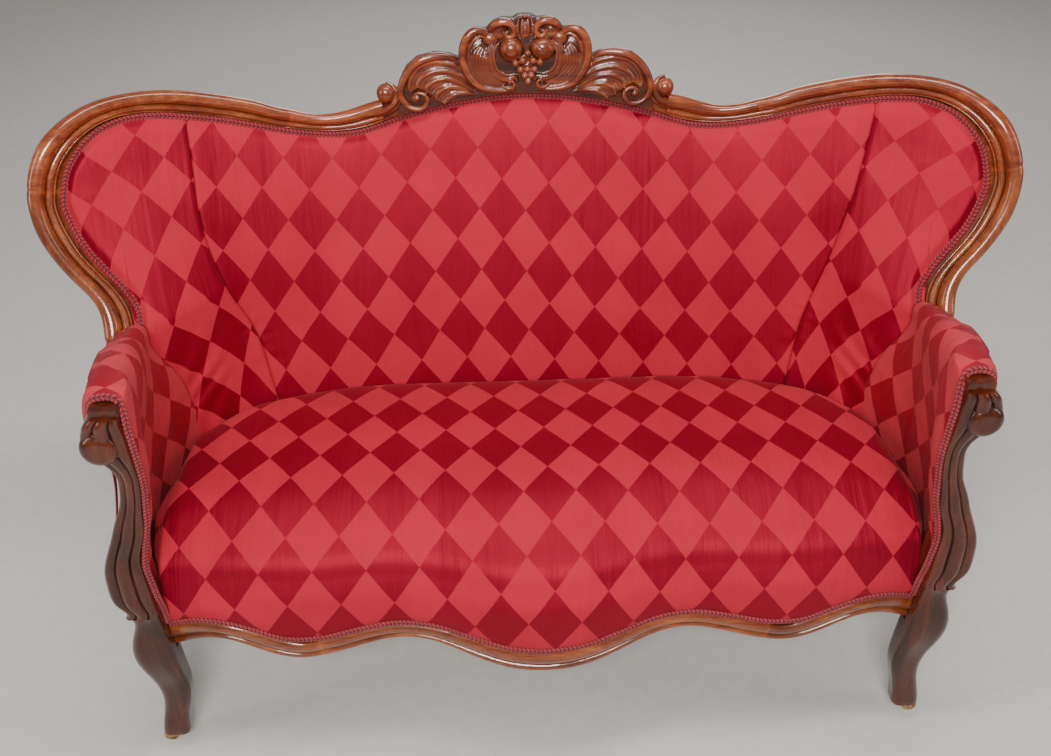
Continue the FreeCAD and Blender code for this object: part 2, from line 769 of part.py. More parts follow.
# Casters: brass plate and screws under the foot, horn on a stem, wheel and riveted axle
foot_centre = Vector(leg_x, -0.08 * size.leg_top_depth, size.foot_height)
plate_low = size.foot_height - size.caster_plate_thickness
stem_bore = size.caster_stem_diameter / 2 + size.caster_bore_gap
plate = Part.makeCylinder(
    size.caster_plate_diameter / 2, size.caster_plate_thickness,
    Vector(foot_centre.x, foot_centre.y, plate_low))
stem_hole = Part.makeCylinder(
    stem_bore, size.caster_stem_length + size.foot_height,
    Vector(foot_centre.x, foot_centre.y, 0))
plate = plate.cut(stem_hole)
front_leg = front_leg.cut(stem_hole)
screws = []
screw_ring = (size.caster_plate_diameter / 2 + size.caster_stem_diameter / 2) / 2
for turn in (90, 210, 330):
    angle = math.radians(turn)
    spot = Vector(foot_centre.x + screw_ring * math.cos(angle),
                  foot_centre.y + screw_ring * math.sin(angle), plate_low)
    radius = size.screw_diameter / 2
    shank = Part.makeCylinder(radius, size.screw_length, spot)
    head = Part.makeCone(radius * 1.7, radius, radius, spot)
    screws.append(shank.fuse(head).removeSplitter())
    slack = size.caster_bore_gap
    bore = Part.makeCylinder(radius + slack, size.screw_length + slack, spot)
    sink = Part.makeCone(radius * 1.7 + slack, radius + slack, radius, spot)
    plate = plate.cut(bore.fuse(sink))
    front_leg = front_leg.cut(bore)
add("front_leg_right", front_leg)
add("front_leg_left", mirrored(front_leg))
add("caster_plate_right", plate)
add("caster_plate_left", mirrored(plate))
add("caster_screws", Part.makeCompound([mirrored(s) for s in screws] + screws))

wheel_radius = size.wheel_diameter / 2
horn_top = plate_low - size.body_gap
cheek = size.caster_horn_thickness * 0.6
fork_half = size.wheel_width / 2 + size.body_gap
axle_x = foot_centre.x + size.caster_trail
axle_half = fork_half + cheek


def horn_shape():
    top = size.caster_horn_thickness
    low = horn_top - top
    width = size.caster_horn_width
    disc = Part.makeCylinder(width / 2, top, Vector(foot_centre.x, foot_centre.y, low))
    arm = Part.makeBox(
        size.caster_trail * 0.75, 2 * axle_half, top,
        Vector(foot_centre.x, foot_centre.y - axle_half, low))
    stem = Part.makeCylinder(
        size.caster_stem_diameter / 2, size.caster_stem_length - size.body_gap,
        Vector(foot_centre.x, foot_centre.y, horn_top - size.body_gap))
    body = disc.fuse([arm, stem])
    arm_end = foot_centre.x + size.caster_trail * 0.75
    boss = cheek * 1.9
    for side in (-1, 1):
        y = foot_centre.y + (fork_half if side > 0 else -axle_half)
        outline = closed_wire(Vector(foot_centre.x + cheek, y, low + top / 2), [
            (Vector(axle_x - boss, y, wheel_radius),),
            (Vector(axle_x, y, wheel_radius - boss), Vector(axle_x + boss, y, wheel_radius)),
            (Vector(arm_end, y, low + top / 2),)])
        body = body.fuse(Part.Face(outline).extrude(Vector(0, cheek, 0)))
    clear = Part.makeCylinder(
        wheel_radius + size.body_gap * 2, 2 * fork_half,
        Vector(axle_x, foot_centre.y - fork_half, wheel_radius), Vector(0, 1, 0))
    hole = Part.makeCylinder(
        size.axle_diameter / 2, 4 * axle_half,
        Vector(axle_x, foot_centre.y - 2 * axle_half, wheel_radius), Vector(0, 1, 0))
    return body.cut(clear).cut(hole).removeSplitter()


horn = horn_shape()
add("caster_horn_right", horn)
add("caster_horn_left", mirrored(horn))

# The wheel and axle are ordinary turned pieces, so their sizes stay tied to the sheet
for side, name in ((1, "right"), (-1, "left")):
    axle = doc.addObject("Part::Cylinder", "caster_axle_" + name)
    axle.Label = "caster_axle_" + name
    axle.setExpression("Radius", "sizes.axle_diameter / 2")
    axle.setExpression(
        "Height", "sizes.wheel_width + 2 * sizes.body_gap + 1.2 * sizes.caster_horn_thickness")
    axle.Placement = Placement(
        Vector(side * axle_x, foot_centre.y + axle_half, wheel_radius),
        Rotation(Vector(1, 0, 0), 90))
    pieces[axle.Label] = axle
    tyre = doc.addObject("Part::Cylinder", "wheel_disc_" + name)
    tyre.setExpression("Radius", "sizes.wheel_diameter / 2")
    tyre.setExpression("Height", "sizes.wheel_width")
    bore = doc.addObject("Part::Cylinder", "wheel_bore_" + name)
    bore.setExpression("Radius", "sizes.axle_diameter / 2 + sizes.caster_bore_gap")
    bore.setExpression("Height", "sizes.wheel_width")
    wheel = doc.addObject("Part::Cut", "wheel_body_" + name)
    wheel.Base = tyre
    wheel.Tool = bore
    doc.recompute()
    rims = doc.addObject("Part::Fillet", "caster_wheel_" + name)
    rims.Base = wheel
    rim_radius = size.wheel_width * 0.28
    rims.Edges = [(number, rim_radius, rim_radius)
                  for number, e in enumerate(wheel.Shape.Edges, start=1)
                  if len(e.Vertexes) == 1 and abs(e.Curve.Radius - wheel_radius) < size.body_gap]
    rims.Label = "caster_wheel_" + name
    rims.Placement = Placement(
        Vector(side * axle_x, foot_centre.y + size.wheel_width / 2, wheel_radius),
        Rotation(Vector(1, 0, 0), 90))
    pieces[rims.Label] = rims

# Corner blocks inside the seat frame
block = size.corner_block
front_inner = rail_values(rail_half)[0] + size.front_rail_thickness
front_corner = Vector(rail_half, front_inner + size.soft_gap, size.rail_web_level)
rear_inner = behind(between_uprights, size.rail_web_level, size.frame_ledge_depth)
rear_corner = Vector(between_uprights, rear_inner.y - size.soft_gap, size.rail_web_level)


def corner_block(corner, toward):
    a = corner.add(Vector(-block, 0, 0))
    b = corner.add(Vector(0, toward * block, 0))
    tall = (size.rail_top - size.rail_web_level) * 0.8
    return Part.Face(closed_wire(corner, [(a,), (b,)])).extrude(Vector(0, 0, tall))


blocks = [corner_block(front_corner, 1), corner_block(rear_corner, -1)]
add("corner_blocks", Part.makeCompound([mirrored(b) for b in blocks] + blocks))
add("frame_dowels", Part.makeCompound([mirrored(d) for d in dowels[:-1]] + dowels))


# Seat springing: crosswise and lengthwise webbing, springs, hessian and two cross braces
SPRING_COLUMN_SHARES = [-0.719, -0.49, -0.245, 0.0, 0.245, 0.49, 0.719]
SPRING_ROW_SHARES = [0.234, 0.518, 0.80]
BRACE_SHARE = 0.368
seat_front = -size.front_rail_bow + size.seat_nose
spring_columns = [share * rail_half for share in SPRING_COLUMN_SHARES]
spring_rows = [seat_front + share * size.seat_depth for share in SPRING_ROW_SHARES]


def box(x, y, z):
    return Part.makeBox(x[1] - x[0], y[1] - y[0], z[1] - z[0], Vector(x[0], y[0], z[0]))


def side_line_x(y):
    return table([(p.y, p.x) for p in side_line], y)


upper_web = size.rail_web_level - size.body_gap - size.web_thickness
lower_web = upper_web - size.body_gap / 3 - size.web_thickness
strips = []
for y in spring_rows:
    reach = side_line_x(y)
    strips.append(box((-reach, reach), (y - size.web_width / 2, y + size.web_width / 2),
                      (upper_web, upper_web + size.web_thickness)))
for x in spring_columns:
    first = rail_values(abs(x) - size.web_width / 2)[0]
    second = rail_values(abs(x) + size.web_width / 2)[0]
    start = max(first, second) + size.front_rail_lip + size.soft_gap
    end = face_y(abs(x) + size.web_width / 2, size.rail_web_level) + upright_back - size.tack_step
    strips.append(box((x - size.web_width / 2, x + size.web_width / 2), (start, end),
                      (lower_web, lower_web + size.web_thickness)))
add("seat_webbing", Part.makeCompound(strips))

SPRING_TURNS = 4
WIRE_SIDES = 8
spring_low = size.rail_web_level + size.spring_wire / 2
spring_rise = size.spring_height - size.spring_wire - size.body_gap
coil_radius = (size.spring_diameter - size.spring_wire) / 2


def spring(x, y):
    path = Part.makeHelix(spring_rise / SPRING_TURNS, spring_rise, coil_radius)
    corners = []
    for k in range(WIRE_SIDES):
        turn = 2 * math.pi * (k + 0.5) / WIRE_SIDES
        corners.append(Vector(coil_radius + size.spring_wire / 2 * math.cos(turn), 0,
                              size.spring_wire / 2 * math.sin(turn)))
    ring = Part.makePolygon(corners + [corners[0]])
    shape = Part.Wire(path).makePipeShell([ring], True, True)
    shape.translate(Vector(x, y, spring_low))
    return shape


add("seat_springs", Part.makeCompound(
    [spring(x, y) for y in spring_rows for x in spring_columns]))

brace_x = BRACE_SHARE * rail_half
brace_half = size.brace_width / 2
brace_front = max(rail_values(brace_x - brace_half)[0], rail_values(brace_x + brace_half)[0])
brace_front += size.front_rail_thickness + 3 * size.body_gap
brace_back = face_y(brace_x + brace_half, size.rail_web_level) + size.frame_ledge_depth
brace = box((brace_x - brace_half, brace_x + brace_half), (brace_front, brace_back),
            (size.rail_web_level, size.rail_web_level + size.brace_height))
add("seat_cross_braces", Part.makeCompound([mirrored(brace), brace]))


def plan_prism(points, low, high):
    wire = Part.makePolygon([Vector(p.x, p.y, low) for p in points + points[:1]])
    return Part.Face(wire).extrude(Vector(0, 0, high - low))


def both_sides(points):
    """Right-hand plan points with their mirror images, as one closed outline."""
    return points + [Vector(-p.x, p.y, p.z) for p in reversed(points)]


dust_high = lower_web - size.body_gap
DUST_FRONT_SHARES = [0.098, 0.196, 0.294, 0.392, 0.490, 0.6005, 0.703, 0.817, 0.923]
dust_points = []
for share in DUST_FRONT_SHARES:
    x = share * rail_half
    dust_points.append(Vector(x, rail_values(x)[0] + size.front_rail_lip + size.tack_step, 0))
notch = block_back + size.tack_step
dust_points.append(Vector(dust_points[-1].x, notch, 0))
dust_points.append(Vector(side_line_x(notch) - size.tack_step, notch, 0))
dust_points += [Vector(p.x - size.tack_step, p.y, 0) for p in side_line[1:5]]
dust_points.append(Vector(side_line[5].x - size.tack_step, side_line[5].y - size.tack_step, 0))
leg_front = behind(upright_x, size.rail_web_level, 0).y + size.tack_step
dust_points.append(Vector(upright_x + size.upright_width / 2, leg_front, 0))
dust_points.append(Vector(between_uprights - size.tack_step, leg_front, 0))
for share in (0.95, 0.69, 0.52):
    x = share * between_uprights
    y = face_y(x, size.rail_web_level) + size.frame_ledge_depth + size.upright_thickness / 2
    dust_points.append(Vector(x, y, 0))
add("dust_cover", plan_prism(
    both_sides(dust_points), dust_high - size.dust_cover_thickness, dust_high))


# Seat cushion: stuffing over the springs and a tight cover, both one crowned form.
# Plan rows: place from the centre as a share of the leg line, crown as a share of the crown.
SEAT_CROWN_SHARES = [
    (0.0, 1.0),
    (0.188, 0.99),
    (0.376, 0.97),
    (0.577, 0.93),
    (0.738, 0.90),
    (0.832, 0.83),
    (0.895, 0.74),
    (0.942, 0.66),
    (0.9555, 0.62),
    (0.9585, 0.60),
    (0.976, 0.50),
    (0.998, 0.35),
]
# Rows past the front leg's block: place as a share of the leg line, front and rear as shares
# of the seat's depth.
SEAT_SIDE_SHARES = [
    (0.9585, 0.173, 0.620),
    (0.976, 0.191, 0.560),
    (0.998, 0.304, 0.470),
]
# Profile: share of the depth from the nose, share of the crown above the edge.
SEAT_PROFILE_SHARES = [
    (0.004, 0.0),
    (0.032, 0.33),
    (0.09, 0.557),
    (0.28, 1.0),
    (0.50, 0.95),
    (0.72, 0.77),
    (0.90, 0.52),
    (0.98, 0.15),
]
SEAT_REAR_SHARE = 0.6
PAD_LOW_SHARES = (0.76, 1.0, 0.88, 0.85)
seat_edge_x = 0.9555 * leg_x


def pad_low_front(x):
    """Foremost depth of the back pad near its lower edge."""
    middle = (size.back_pad_low + size.overall_height * STILE_FOOT_SHARE) / 2
    low = behind(x, size.back_pad_low, -PAD_LOW_SHARES[0] * size.back_pad_proud).y
    return min(low, behind(x, middle, -size.back_pad_proud).y)


def seat_points(x):
    """Outer line of the seat's cover from the front tack edge to the rear tack edge."""
    face, low, high = rail_values(min(x, seat_edge_x))
    crown = size.seat_crown * table(SEAT_CROWN_SHARES, x / leg_x)
    floor = size.rail_top + size.body_gap
    if x <= seat_edge_x + size.body_gap:
        front = face + size.seat_nose
        rear = pad_low_front(x) - size.body_gap * 10
        start = Vector(x, face + size.tack_step - size.cover_thickness - size.tack_gap,
                       high + size.tack_gap)
        step = Vector(x, start.y + size.body_gap, floor + size.cover_thickness)
        if x > seat_edge_x - size.body_gap:
            start.z = floor + size.cover_thickness / 2
    else:
        front = seat_front + table(SEAT_SIDE_SHARES, x / leg_x, 1) * size.seat_depth
        rear = seat_front + table(SEAT_SIDE_SHARES, x / leg_x, 2) * size.seat_depth
        start = Vector(x, front + size.body_gap, floor + size.cover_thickness)
        step = Vector(x, front - size.body_gap, start.z + size.cover_thickness * 2)
    if x > seat_edge_x - size.body_gap:
        rear = min(rear, seat_front + SEAT_SIDE_SHARES[0][2] * size.seat_depth)
    depth = rear - front
    rise = size.seat_edge_height - size.rail_top
    nose = Vector(x, front - size.seat_nose * 0.1, size.rail_top + SEAT_REAR_SHARE * rise)
    points = [start, step, nose]
    for share, lift in SEAT_PROFILE_SHARES:
        points.append(Vector(x, front + share * depth, size.seat_edge_height + lift * crown))
    points.append(Vector(x, rear, size.back_pad_low))
    if x <= seat_edge_x - size.body_gap:
        tuck = face_y(x, size.rail_web_level) + size.frame_ledge_depth + size.tack_step
    else:
        tuck = rear + size.tack_step
    points.append(Vector(x, tuck, floor + size.cover_thickness))
    return points


def inward(points, distance):
    """Points of a line in a plane of constant x, moved square to it, to its right hand."""
    moved = []
    for index, point in enumerate(points):
        before = points[max(0, index - 1)]
        ahead = points[min(len(points) - 1, index + 1)]
        along = ahead.sub(before).normalize()
        moved.append(point.add(Vector(0, along.z, -along.y).multiply(distance)))
    return moved


def seat_cover_section(x):
    outer = seat_points(x)
    inner = inward(outer, size.cover_thickness)
    inner[0].z = outer[0].z
    steps = [(outer[1],)]
    for index in (2, 4, 6, 8, 10):
        steps.append((outer[index], outer[index + 1]))
    steps.append((outer[12],))
    steps.append((inner[12],))
    steps.append((inner[11],))
    for index in (10, 8, 6, 4, 2):
        steps.append((inner[index], inner[index - 1]))
    steps.append((inner[0],))
    return closed_wire(outer[0], steps)


def seat_stuffing_section(x):
    inner = inward(seat_points(x), size.cover_thickness + size.soft_gap)
    floor = size.rail_top + size.body_gap
    inner[1].z = max(inner[1].z, floor + size.body_gap)
    inner[12].z = floor + size.body_gap
    steps = []
    for index in (2, 4, 6, 8, 10):
        steps.append((inner[index], inner[index + 1]))
    steps.append((inner[12],))
    steps.append((Vector(x, inner[12].y, floor),))
    steps.append((Vector(x, inner[1].y, floor),))
    return closed_wire(inner[1], steps)


seat_places = [share * leg_x for share, _ in SEAT_CROWN_SHARES]
for share in (0.094, 0.283, 0.48, 0.66, 0.79):
    seat_places.append(share * leg_x)
seat_places.sort()


def mirror_loft(section, places):
    """Ruled form through sections at these places and at their mirror images."""
    right = [section(x) for x in places]
    left = [mirrored(wire) for wire in right[:0:-1]]
    return loft(left + right, True)


def half_form(section, places):
    """Right half of a ruled form, and its mirror image, as one solid."""
    right = loft([section(x) for x in places], True)
    return right.fuse(mirrored(right)).removeSplitter()


seat_cover = half_form(seat_cover_section, seat_places)
add("seat_cover", seat_cover)

CAVITY_SHARES = [0.26, 0.52, 0.72, 0.86]
hessian_low = size.rail_web_level + size.spring_height + size.body_gap
hessian_high = hessian_low + size.hessian_thickness


def cavity_points(inset):
    front, rear = [], []
    for share in [0.1] + CAVITY_SHARES:
        x = share * rail_half
        if share == CAVITY_SHARES[-1]:
            x -= inset
        face = rail_values(x)[0]
        front.append(Vector(x, face + size.front_rail_thickness + size.tack_step + inset, 0))
        rear_y_here = pad_low_front(x) - size.pad_flange * 3.5 - inset
        rear.append(Vector(x, rear_y_here, 0))
    return both_sides(front + rear[::-1])


cavity = plan_prism(
    cavity_points(0), size.rail_top - size.tack_step, hessian_high + size.soft_gap)
seat_stuffing = half_form(seat_stuffing_section, seat_places).cut(cavity)
add("seat_stuffing", seat_stuffing)
add("seat_hessian", plan_prism(cavity_points(size.soft_gap), hessian_low, hessian_high))


# Back upholstery: webbing, hessian, stuffing and three cover panels, stacked off the face
def top_line_z(x):
    """Lower edge of the show wood above a place on the back."""
    x = abs(x)
    rows = [(a * half_width, b * size.overall_height) for a, b in CREST_LINE_SHARES]
    rows += [(row[2] * half_width, row[3] * size.overall_height)
             for row in FRAME_SHARES[:EAR_JOINT + 1]]
    return table(rows, x)


def low_line_z(x):
    """Upper edge of the stile's show wood below a place in the ear."""
    rows = [(row[2] * half_width, row[3] * size.overall_height)
            for row in FRAME_SHARES[EAR_JOINT:-1]]
    return table(rows[::-1], abs(x))


PAD_LEVEL_SHARES = (0.5, 1.0, 0.07)
PAD_TOP_SHARES = (0.52, 0.19, 0.10)
PAD_HIGH_SHARES = (0.66, 0.38, 0.16)
# Ear rows: place as a share of the half width, proud as a share of the pad's.
EAR_SHARES = [
    (0.8152, 1.0),
    (0.8339, 0.80),
    (0.8587, 0.72),
    (0.8836, 0.60),
    (0.9085, 0.42),
    (0.9272, 0.22),
    (0.9396, 0.06),
]


def pad_line(x, depth, level=None):
    """Points up the back at one place; level gives a plain line at that depth instead."""
    proud = size.back_pad_proud
    edge_depth = size.pad_edge_depth
    foot = size.overall_height * (STILE_FOOT_SHARE + 0.0097)
    top = top_line_z(x) - size.pad_edge_gap
    tall = top - foot
    low = size.back_pad_low
    rows = [
        (low, -PAD_LOW_SHARES[0] * proud),
        (low + PAD_LEVEL_SHARES[0] * (foot - low), -PAD_LOW_SHARES[1] * proud),
        (foot, -PAD_LOW_SHARES[2] * proud),
        (foot + PAD_LEVEL_SHARES[2] * tall, -PAD_LOW_SHARES[3] * proud),
        (top - PAD_TOP_SHARES[0] * tall, -PAD_HIGH_SHARES[0] * proud),
        (top - PAD_TOP_SHARES[1] * tall, -PAD_HIGH_SHARES[1] * proud),
        (top - PAD_TOP_SHARES[2] * tall, -PAD_HIGH_SHARES[2] * proud),
        (top - size.pad_flange, edge_depth),
        (top, edge_depth),
    ]
    return line_points(x, rows, depth, level)


def ear_line(x, depth, level=None):
    """The same line above the stile, where the pad's lower edge climbs with the show wood."""
    proud = size.back_pad_proud * table(EAR_SHARES, abs(x) / half_width)
    edge_depth = size.pad_edge_depth
    top = top_line_z(x) - size.pad_edge_gap
    across = abs(x) / half_width
    foot = size.overall_height * (STILE_FOOT_SHARE + 0.0097)
    start = across <= EAR_SHARES[0][0] + 0.001
    low = foot if start else low_line_z(x) + size.pad_edge_gap * 1.5
    tall = top - low
    edge_low = -PAD_LOW_SHARES[2] * proud if start else edge_depth
    edge_next = -PAD_LOW_SHARES[3] * proud if start else edge_depth
    brow = top - max(PAD_TOP_SHARES[1] * tall, 2.2 * size.pad_flange)
    rows = [
        (low, edge_low),
        (low + (PAD_LEVEL_SHARES[2] * tall if start else size.pad_flange * 1.2), edge_next),
        (top - PAD_TOP_SHARES[0] * tall, edge_depth - (proud + edge_depth) * 0.74),
        (brow, edge_depth - (proud + edge_depth) * 0.50),
        ((brow + top - size.pad_flange) / 2, edge_depth - (proud + edge_depth) * 0.33),
        (top - size.pad_flange, edge_depth),
        (top, edge_depth),
    ]
    return line_points(x, rows, depth, level)


def line_points(x, rows, depth, level):
    points = []
    for z, proud in rows:
        points.append(behind(x, z, proud + depth if level is None else level))
    return points


def layer_wire(front, back):
    """Closed section between two lines of points; the odd ones out are arc middles."""
    steps = []
    whole = len(front) == 9
    if whole:
        steps.append((front[1], front[2]))
    first = 2 if whole else 0
    steps.append((front[first + 1],))
    steps.append((front[first + 2], front[first + 3]))
    steps.append((front[first + 4], front[first + 5]))
    steps.append((front[first + 6],))
    steps.append((back[-1],))
    steps.append((back[-2],))
    steps.append((back[-3], back[-4]))
    steps.append((back[-5], back[-6]))
    steps.append((back[-7],))
    if whole:
        steps.append((back[1], back[0]))
    return closed_wire(front[0], steps)


pad_places = [0.0]
pad_places += [share * half_width for share, _ in CREST_LINE_SHARES[2::2]]
pad_places += [row[2] * half_width for row in FRAME_SHARES[:6]]
pad_places += [row[2] * half_width for row in FRAME_SHARES[6:9]]
seam_x = SEAM_SHARE * half_width
pad_places += [seam_x, 0.68 * half_width, 0.745 * half_width, EAR_SHARES[0][0] * half_width]
pad_places.sort()
ear_places = [share * half_width for share, _ in EAR_SHARES]


def layer(places, line, front, back):
    """Ruled layer; each side is a depth past the pad's front, or a plain level."""
    wires = []
    for x in places:
        lines = [line(x, 0, side[1]) if side[0] == "level" else line(x, side[1])
                 for side in (front, back)]
        wires.append(layer_wire(*lines))
    return loft(wires, True)


def whole_layer(front, back):
    middle = layer(pad_places, pad_line, front, back)
    ear = layer(ear_places, ear_line, front, back)
    half = middle.fuse(ear)
    return half.fuse(mirrored(half)).removeSplitter()


stuffing_front = size.cover_thickness + size.soft_gap
web_back = size.frame_ledge_depth - size.soft_gap * 2.4
web_front = web_back - size.web_thickness
hessian_back = web_front - size.soft_gap
hessian_front = hessian_back - size.hessian_thickness
stuffing_back = hessian_front - size.soft_gap
add("back_stuffing", clear_of(
    whole_layer(("past", stuffing_front), ("level", stuffing_back)),
    "back_stile_right", "back_stile_left"))
add("back_hessian", clear_of(
    whole_layer(("level", hessian_front), ("level", hessian_back)),
    "back_stile_right", "back_stile_left"))

centre_places_right = [x for x in pad_places if x < seam_x - size.body_gap]
centre_places_right.append(seam_x - size.body_gap)
half_cover = layer(centre_places_right, pad_line, ("past", 0), ("past", size.cover_thickness))
add("inside_back_cover", half_cover.fuse(mirrored(half_cover)).removeSplitter())
wing_cover_places = [x for x in pad_places if x >= seam_x - size.body_gap]
wing_cover = layer(wing_cover_places, pad_line, ("past", 0), ("past", size.cover_thickness))
ear_cover = layer(ear_places, ear_line, ("past", 0), ("past", size.cover_thickness))
wing_cover = wing_cover.fuse(ear_cover).removeSplitter()
add("inside_wing_cover_right", wing_cover)
add("inside_wing_cover_left", mirrored(wing_cover))

WEB_COLUMN_SHARES = [0.0, 0.156, 0.312, 0.468, 0.565, 0.735]
back_strips = []
for share in WEB_COLUMN_SHARES:
    x = share * half_width
    wires = []
    for place in (x - size.web_width / 2, x, x + size.web_width / 2):
        wires.append(layer_wire(
            pad_line(place, 0, web_front), pad_line(place, 0, web_back)))
    strip = loft(wires, True)
    back_strips.append(strip)
    if share:
        back_strips.append(mirrored(strip))
add("back_webbing", Part.makeCompound(back_strips))

# Outside back: a stretched sheet behind the frame, its edges on the back of the show wood
outside_front = size.frame_depth + 3 * size.soft_gap
outside_back = outside_front + size.outside_cover_thickness
OUTSIDE_EDGE_SHARE = 0.35
OUTSIDE_WING_SHARE = 0.848


def outside_line(x, depth):
    lap = OUTSIDE_EDGE_SHARE * size.frame_depth
    top = top_line_z(x) + lap
    middle = size.overall_height * STILE_FOOT_SHARE
    rows = [size.outside_back_low, (size.outside_back_low + middle) / 2, middle,
            (middle + top) / 2, top]
    return [behind(x, z, depth) for z in rows]


def outside_ear_line(x, depth):
    lap = OUTSIDE_EDGE_SHARE * size.frame_depth
    top = top_line_z(x) + lap
    low = low_line_z(x) - lap
    if abs(x) / half_width <= EAR_SHARES[0][0] + 0.001:
        low = size.overall_height * STILE_FOOT_SHARE
    return [behind(x, z, depth) for z in (low, (low + top) / 2, top)]


def sheet_loft(places, line):
    wires = []
    for x in places:
        front, back = line(x, outside_front), line(x, outside_back)
        steps = [(front[i], front[i + 1]) for i in range(1, len(front) - 1, 2)]
        steps.append((back[-1],))
        steps += [(back[i], back[i - 1]) for i in range(len(back) - 2, 0, -2)]
        wires.append(closed_wire(front[0], steps))
    return loft(wires, True)


def outside_low_line(x, depth):
    """The sheet beside the stile's lower post, below the show wood's foot."""
    low, high = size.outside_back_low, size.overall_height * STILE_FOOT_SHARE
    return [behind(x, z, depth) for z in (low, (low + high) / 2, high)]


low_places = [share * half_width for share in (EAR_SHARES[0][0], 0.838, OUTSIDE_WING_SHARE)]
outside = sheet_loft(pad_places, outside_line).fuse([
    sheet_loft(ear_places, outside_ear_line), sheet_loft(low_places, outside_low_line)])
add("outside_back_cover", outside.fuse(mirrored(outside)).removeSplitter())


# Braid round the inside back and round the outside back
def braid_wires(share, extra, depth, centre_drop):
    """Rectangular sections along the show wood's edge from the foot to the crest's middle."""
    width, thick = size.gimp_width, size.gimp_thickness
    wires = []
    for row in FRAME_SHARES[-3::-1]:
        corners = [(extra, depth), (extra + width, depth),
                   (extra + width, depth + thick), (extra, depth + thick)]
        points = [frame_spot(row, share, b, a) for a, b in corners]
        wires.append(closed_wire(points[0], [(p,) for p in points[1:]]))
    for cx, cz in CREST_LINE_SHARES[::-1]:
        x, z = cx * half_width, cz * size.overall_height
        corners = [(centre_drop, depth), (centre_drop + width, depth),
                   (centre_drop + width, depth + thick), (centre_drop, depth + thick)]
        points = [behind(x, z - a, b) for a, b in corners]
        wires.append(closed_wire(points[0], [(p,) for p in points[1:]]))
    return wires


def braid(share, extra, depth, centre_drop):
    right = loft(braid_wires(share, extra, depth, centre_drop), True)
    return right.fuse(mirrored(right)).removeSplitter()


front_braid_depth = size.pad_edge_depth - size.soft_gap - size.gimp_thickness
add("gimp_back", braid(1, size.soft_gap, front_braid_depth, size.soft_gap))
outside_braid_depth = outside_back + 2 * size.soft_gap
outside_extra = -OUTSIDE_EDGE_SHARE * size.frame_depth
add("gimp_outside_back", braid(1, outside_extra, outside_braid_depth, outside_extra))


# Arms: rail, stuffing, inside and outside covers and the braid beside the post.
# Rows of points round an arm: sideways share of the arm's width from the station's middle,
# height as a share of the arm's rise; the even rows after the first are arc middles.
ARM_SHARES = [
    [(-0.115, 0.0), (-0.22, 0.245), (-0.42, 0.555), (-0.60, 0.864), (-0.55, 0.964),
     (-0.32, 0.995), (0.04, 0.979), (0.23, 0.912), (0.24, 0.829)],
    [(0.01, 0.0), (-0.05, 0.245), (-0.295, 0.555), (-0.60, 0.864), (-0.54, 0.969),
     (-0.256, 1.0), (0.09, 0.976), (0.244, 0.912), (0.244, 0.829)],
    [(0.0, 0.0), (-0.064, 0.245), (-0.282, 0.555), (-0.54, 0.829), (-0.46, 0.926),
     (-0.19, 0.957), (0.154, 0.931), (0.31, 0.869), (0.31, 0.788)],
    [(-0.19, 0.0), (-0.244, 0.245), (-0.32, 0.53), (-0.37, 0.757), (-0.28, 0.845),
     (-0.026, 0.874), (0.27, 0.85), (0.40, 0.798), (0.40, 0.726)],
    [(-0.73, 0.0), (-0.78, 0.245), (-0.60, 0.483), (-0.28, 0.674), (-0.18, 0.75),
     (0.026, 0.781), (0.28, 0.764), (0.385, 0.726), (0.385, 0.674)],
]
# Stations: middle off the leg line as a share of the arm's width, depth along the arm as a
# share of its length, and how far the section is turned in plan.
ARM_STATION_SHARES = [
    (0.0, 0.0, 0.0),
    (0.103, 0.24, 0.0),
    (0.192, 0.51, 0.15),
    (0.256, 0.765, 0.5),
]
arm_start = size.arm_post_depth / 2 + size.soft_gap * 2
arm_end_x = half_width * 0.8239


def pad_front_y(x, z):
    """Depth of the back pad's front low down, taken at its proudest."""
    return behind(x, z, -size.back_pad_proud).y


def arm_plane():
    """Depth of the arm pad's rear end over x and z, just in front of the wing pad."""
    low_x, high_x = arm_end_x - 0.80 * size.arm_width, EAR_SHARES[0][0] * half_width
    low_z, high_z = size.back_pad_low, size.back_pad_low + 0.65 * size.arm_rise
    a = pad_front_y(low_x, low_z)
    slope_x = (pad_front_y(high_x, low_z) - a) / (high_x - low_x)
    slope_z = (pad_front_y(low_x, high_z) - a) / (high_z - low_z) * 0.5
    over = 0.0
    for i in range(5):
        for j in range(5):
            x = low_x + i / 4 * (high_x - low_x)
            z = low_z + j / 4 * (high_z - low_z)
            plane = a + slope_x * (x - low_x) + slope_z * (z - low_z)
            over = max(over, plane - pad_front_y(x, z))
    start = a - over - 4 * size.soft_gap
    return lambda x, z: start + slope_x * (x - low_x) + slope_z * (z - low_z)


arm_end = arm_plane()
arm_length = arm_end(arm_end_x, size.rail_top) - arm_start
arm_floor = size.rail_top + size.body_gap * 6


def arm_points(index):
    points = []
    for side, lift in ARM_SHARES[index]:
        z = arm_floor + lift * size.arm_rise
        if index < len(ARM_STATION_SHARES):
            middle, along, turn = ARM_STATION_SHARES[index]
            x = leg_x + (middle + side) * size.arm_width
            y = arm_start + along * arm_length - turn * side * size.arm_width
        else:
            x = arm_end_x + side * size.arm_width
            y = arm_end(x, z)
        points.append(Vector(x, y, z))
    return points


def station_axis(index):
    """Sideways direction of a station's section, in plan."""
    points = arm_points(index)
    axis = Vector(points[7].x - points[1].x, points[7].y - points[1].y, 0)
    if index == len(ARM_STATION_SHARES):
        axis = points[7].sub(points[1])
        axis.z = 0
    return axis.normalize()


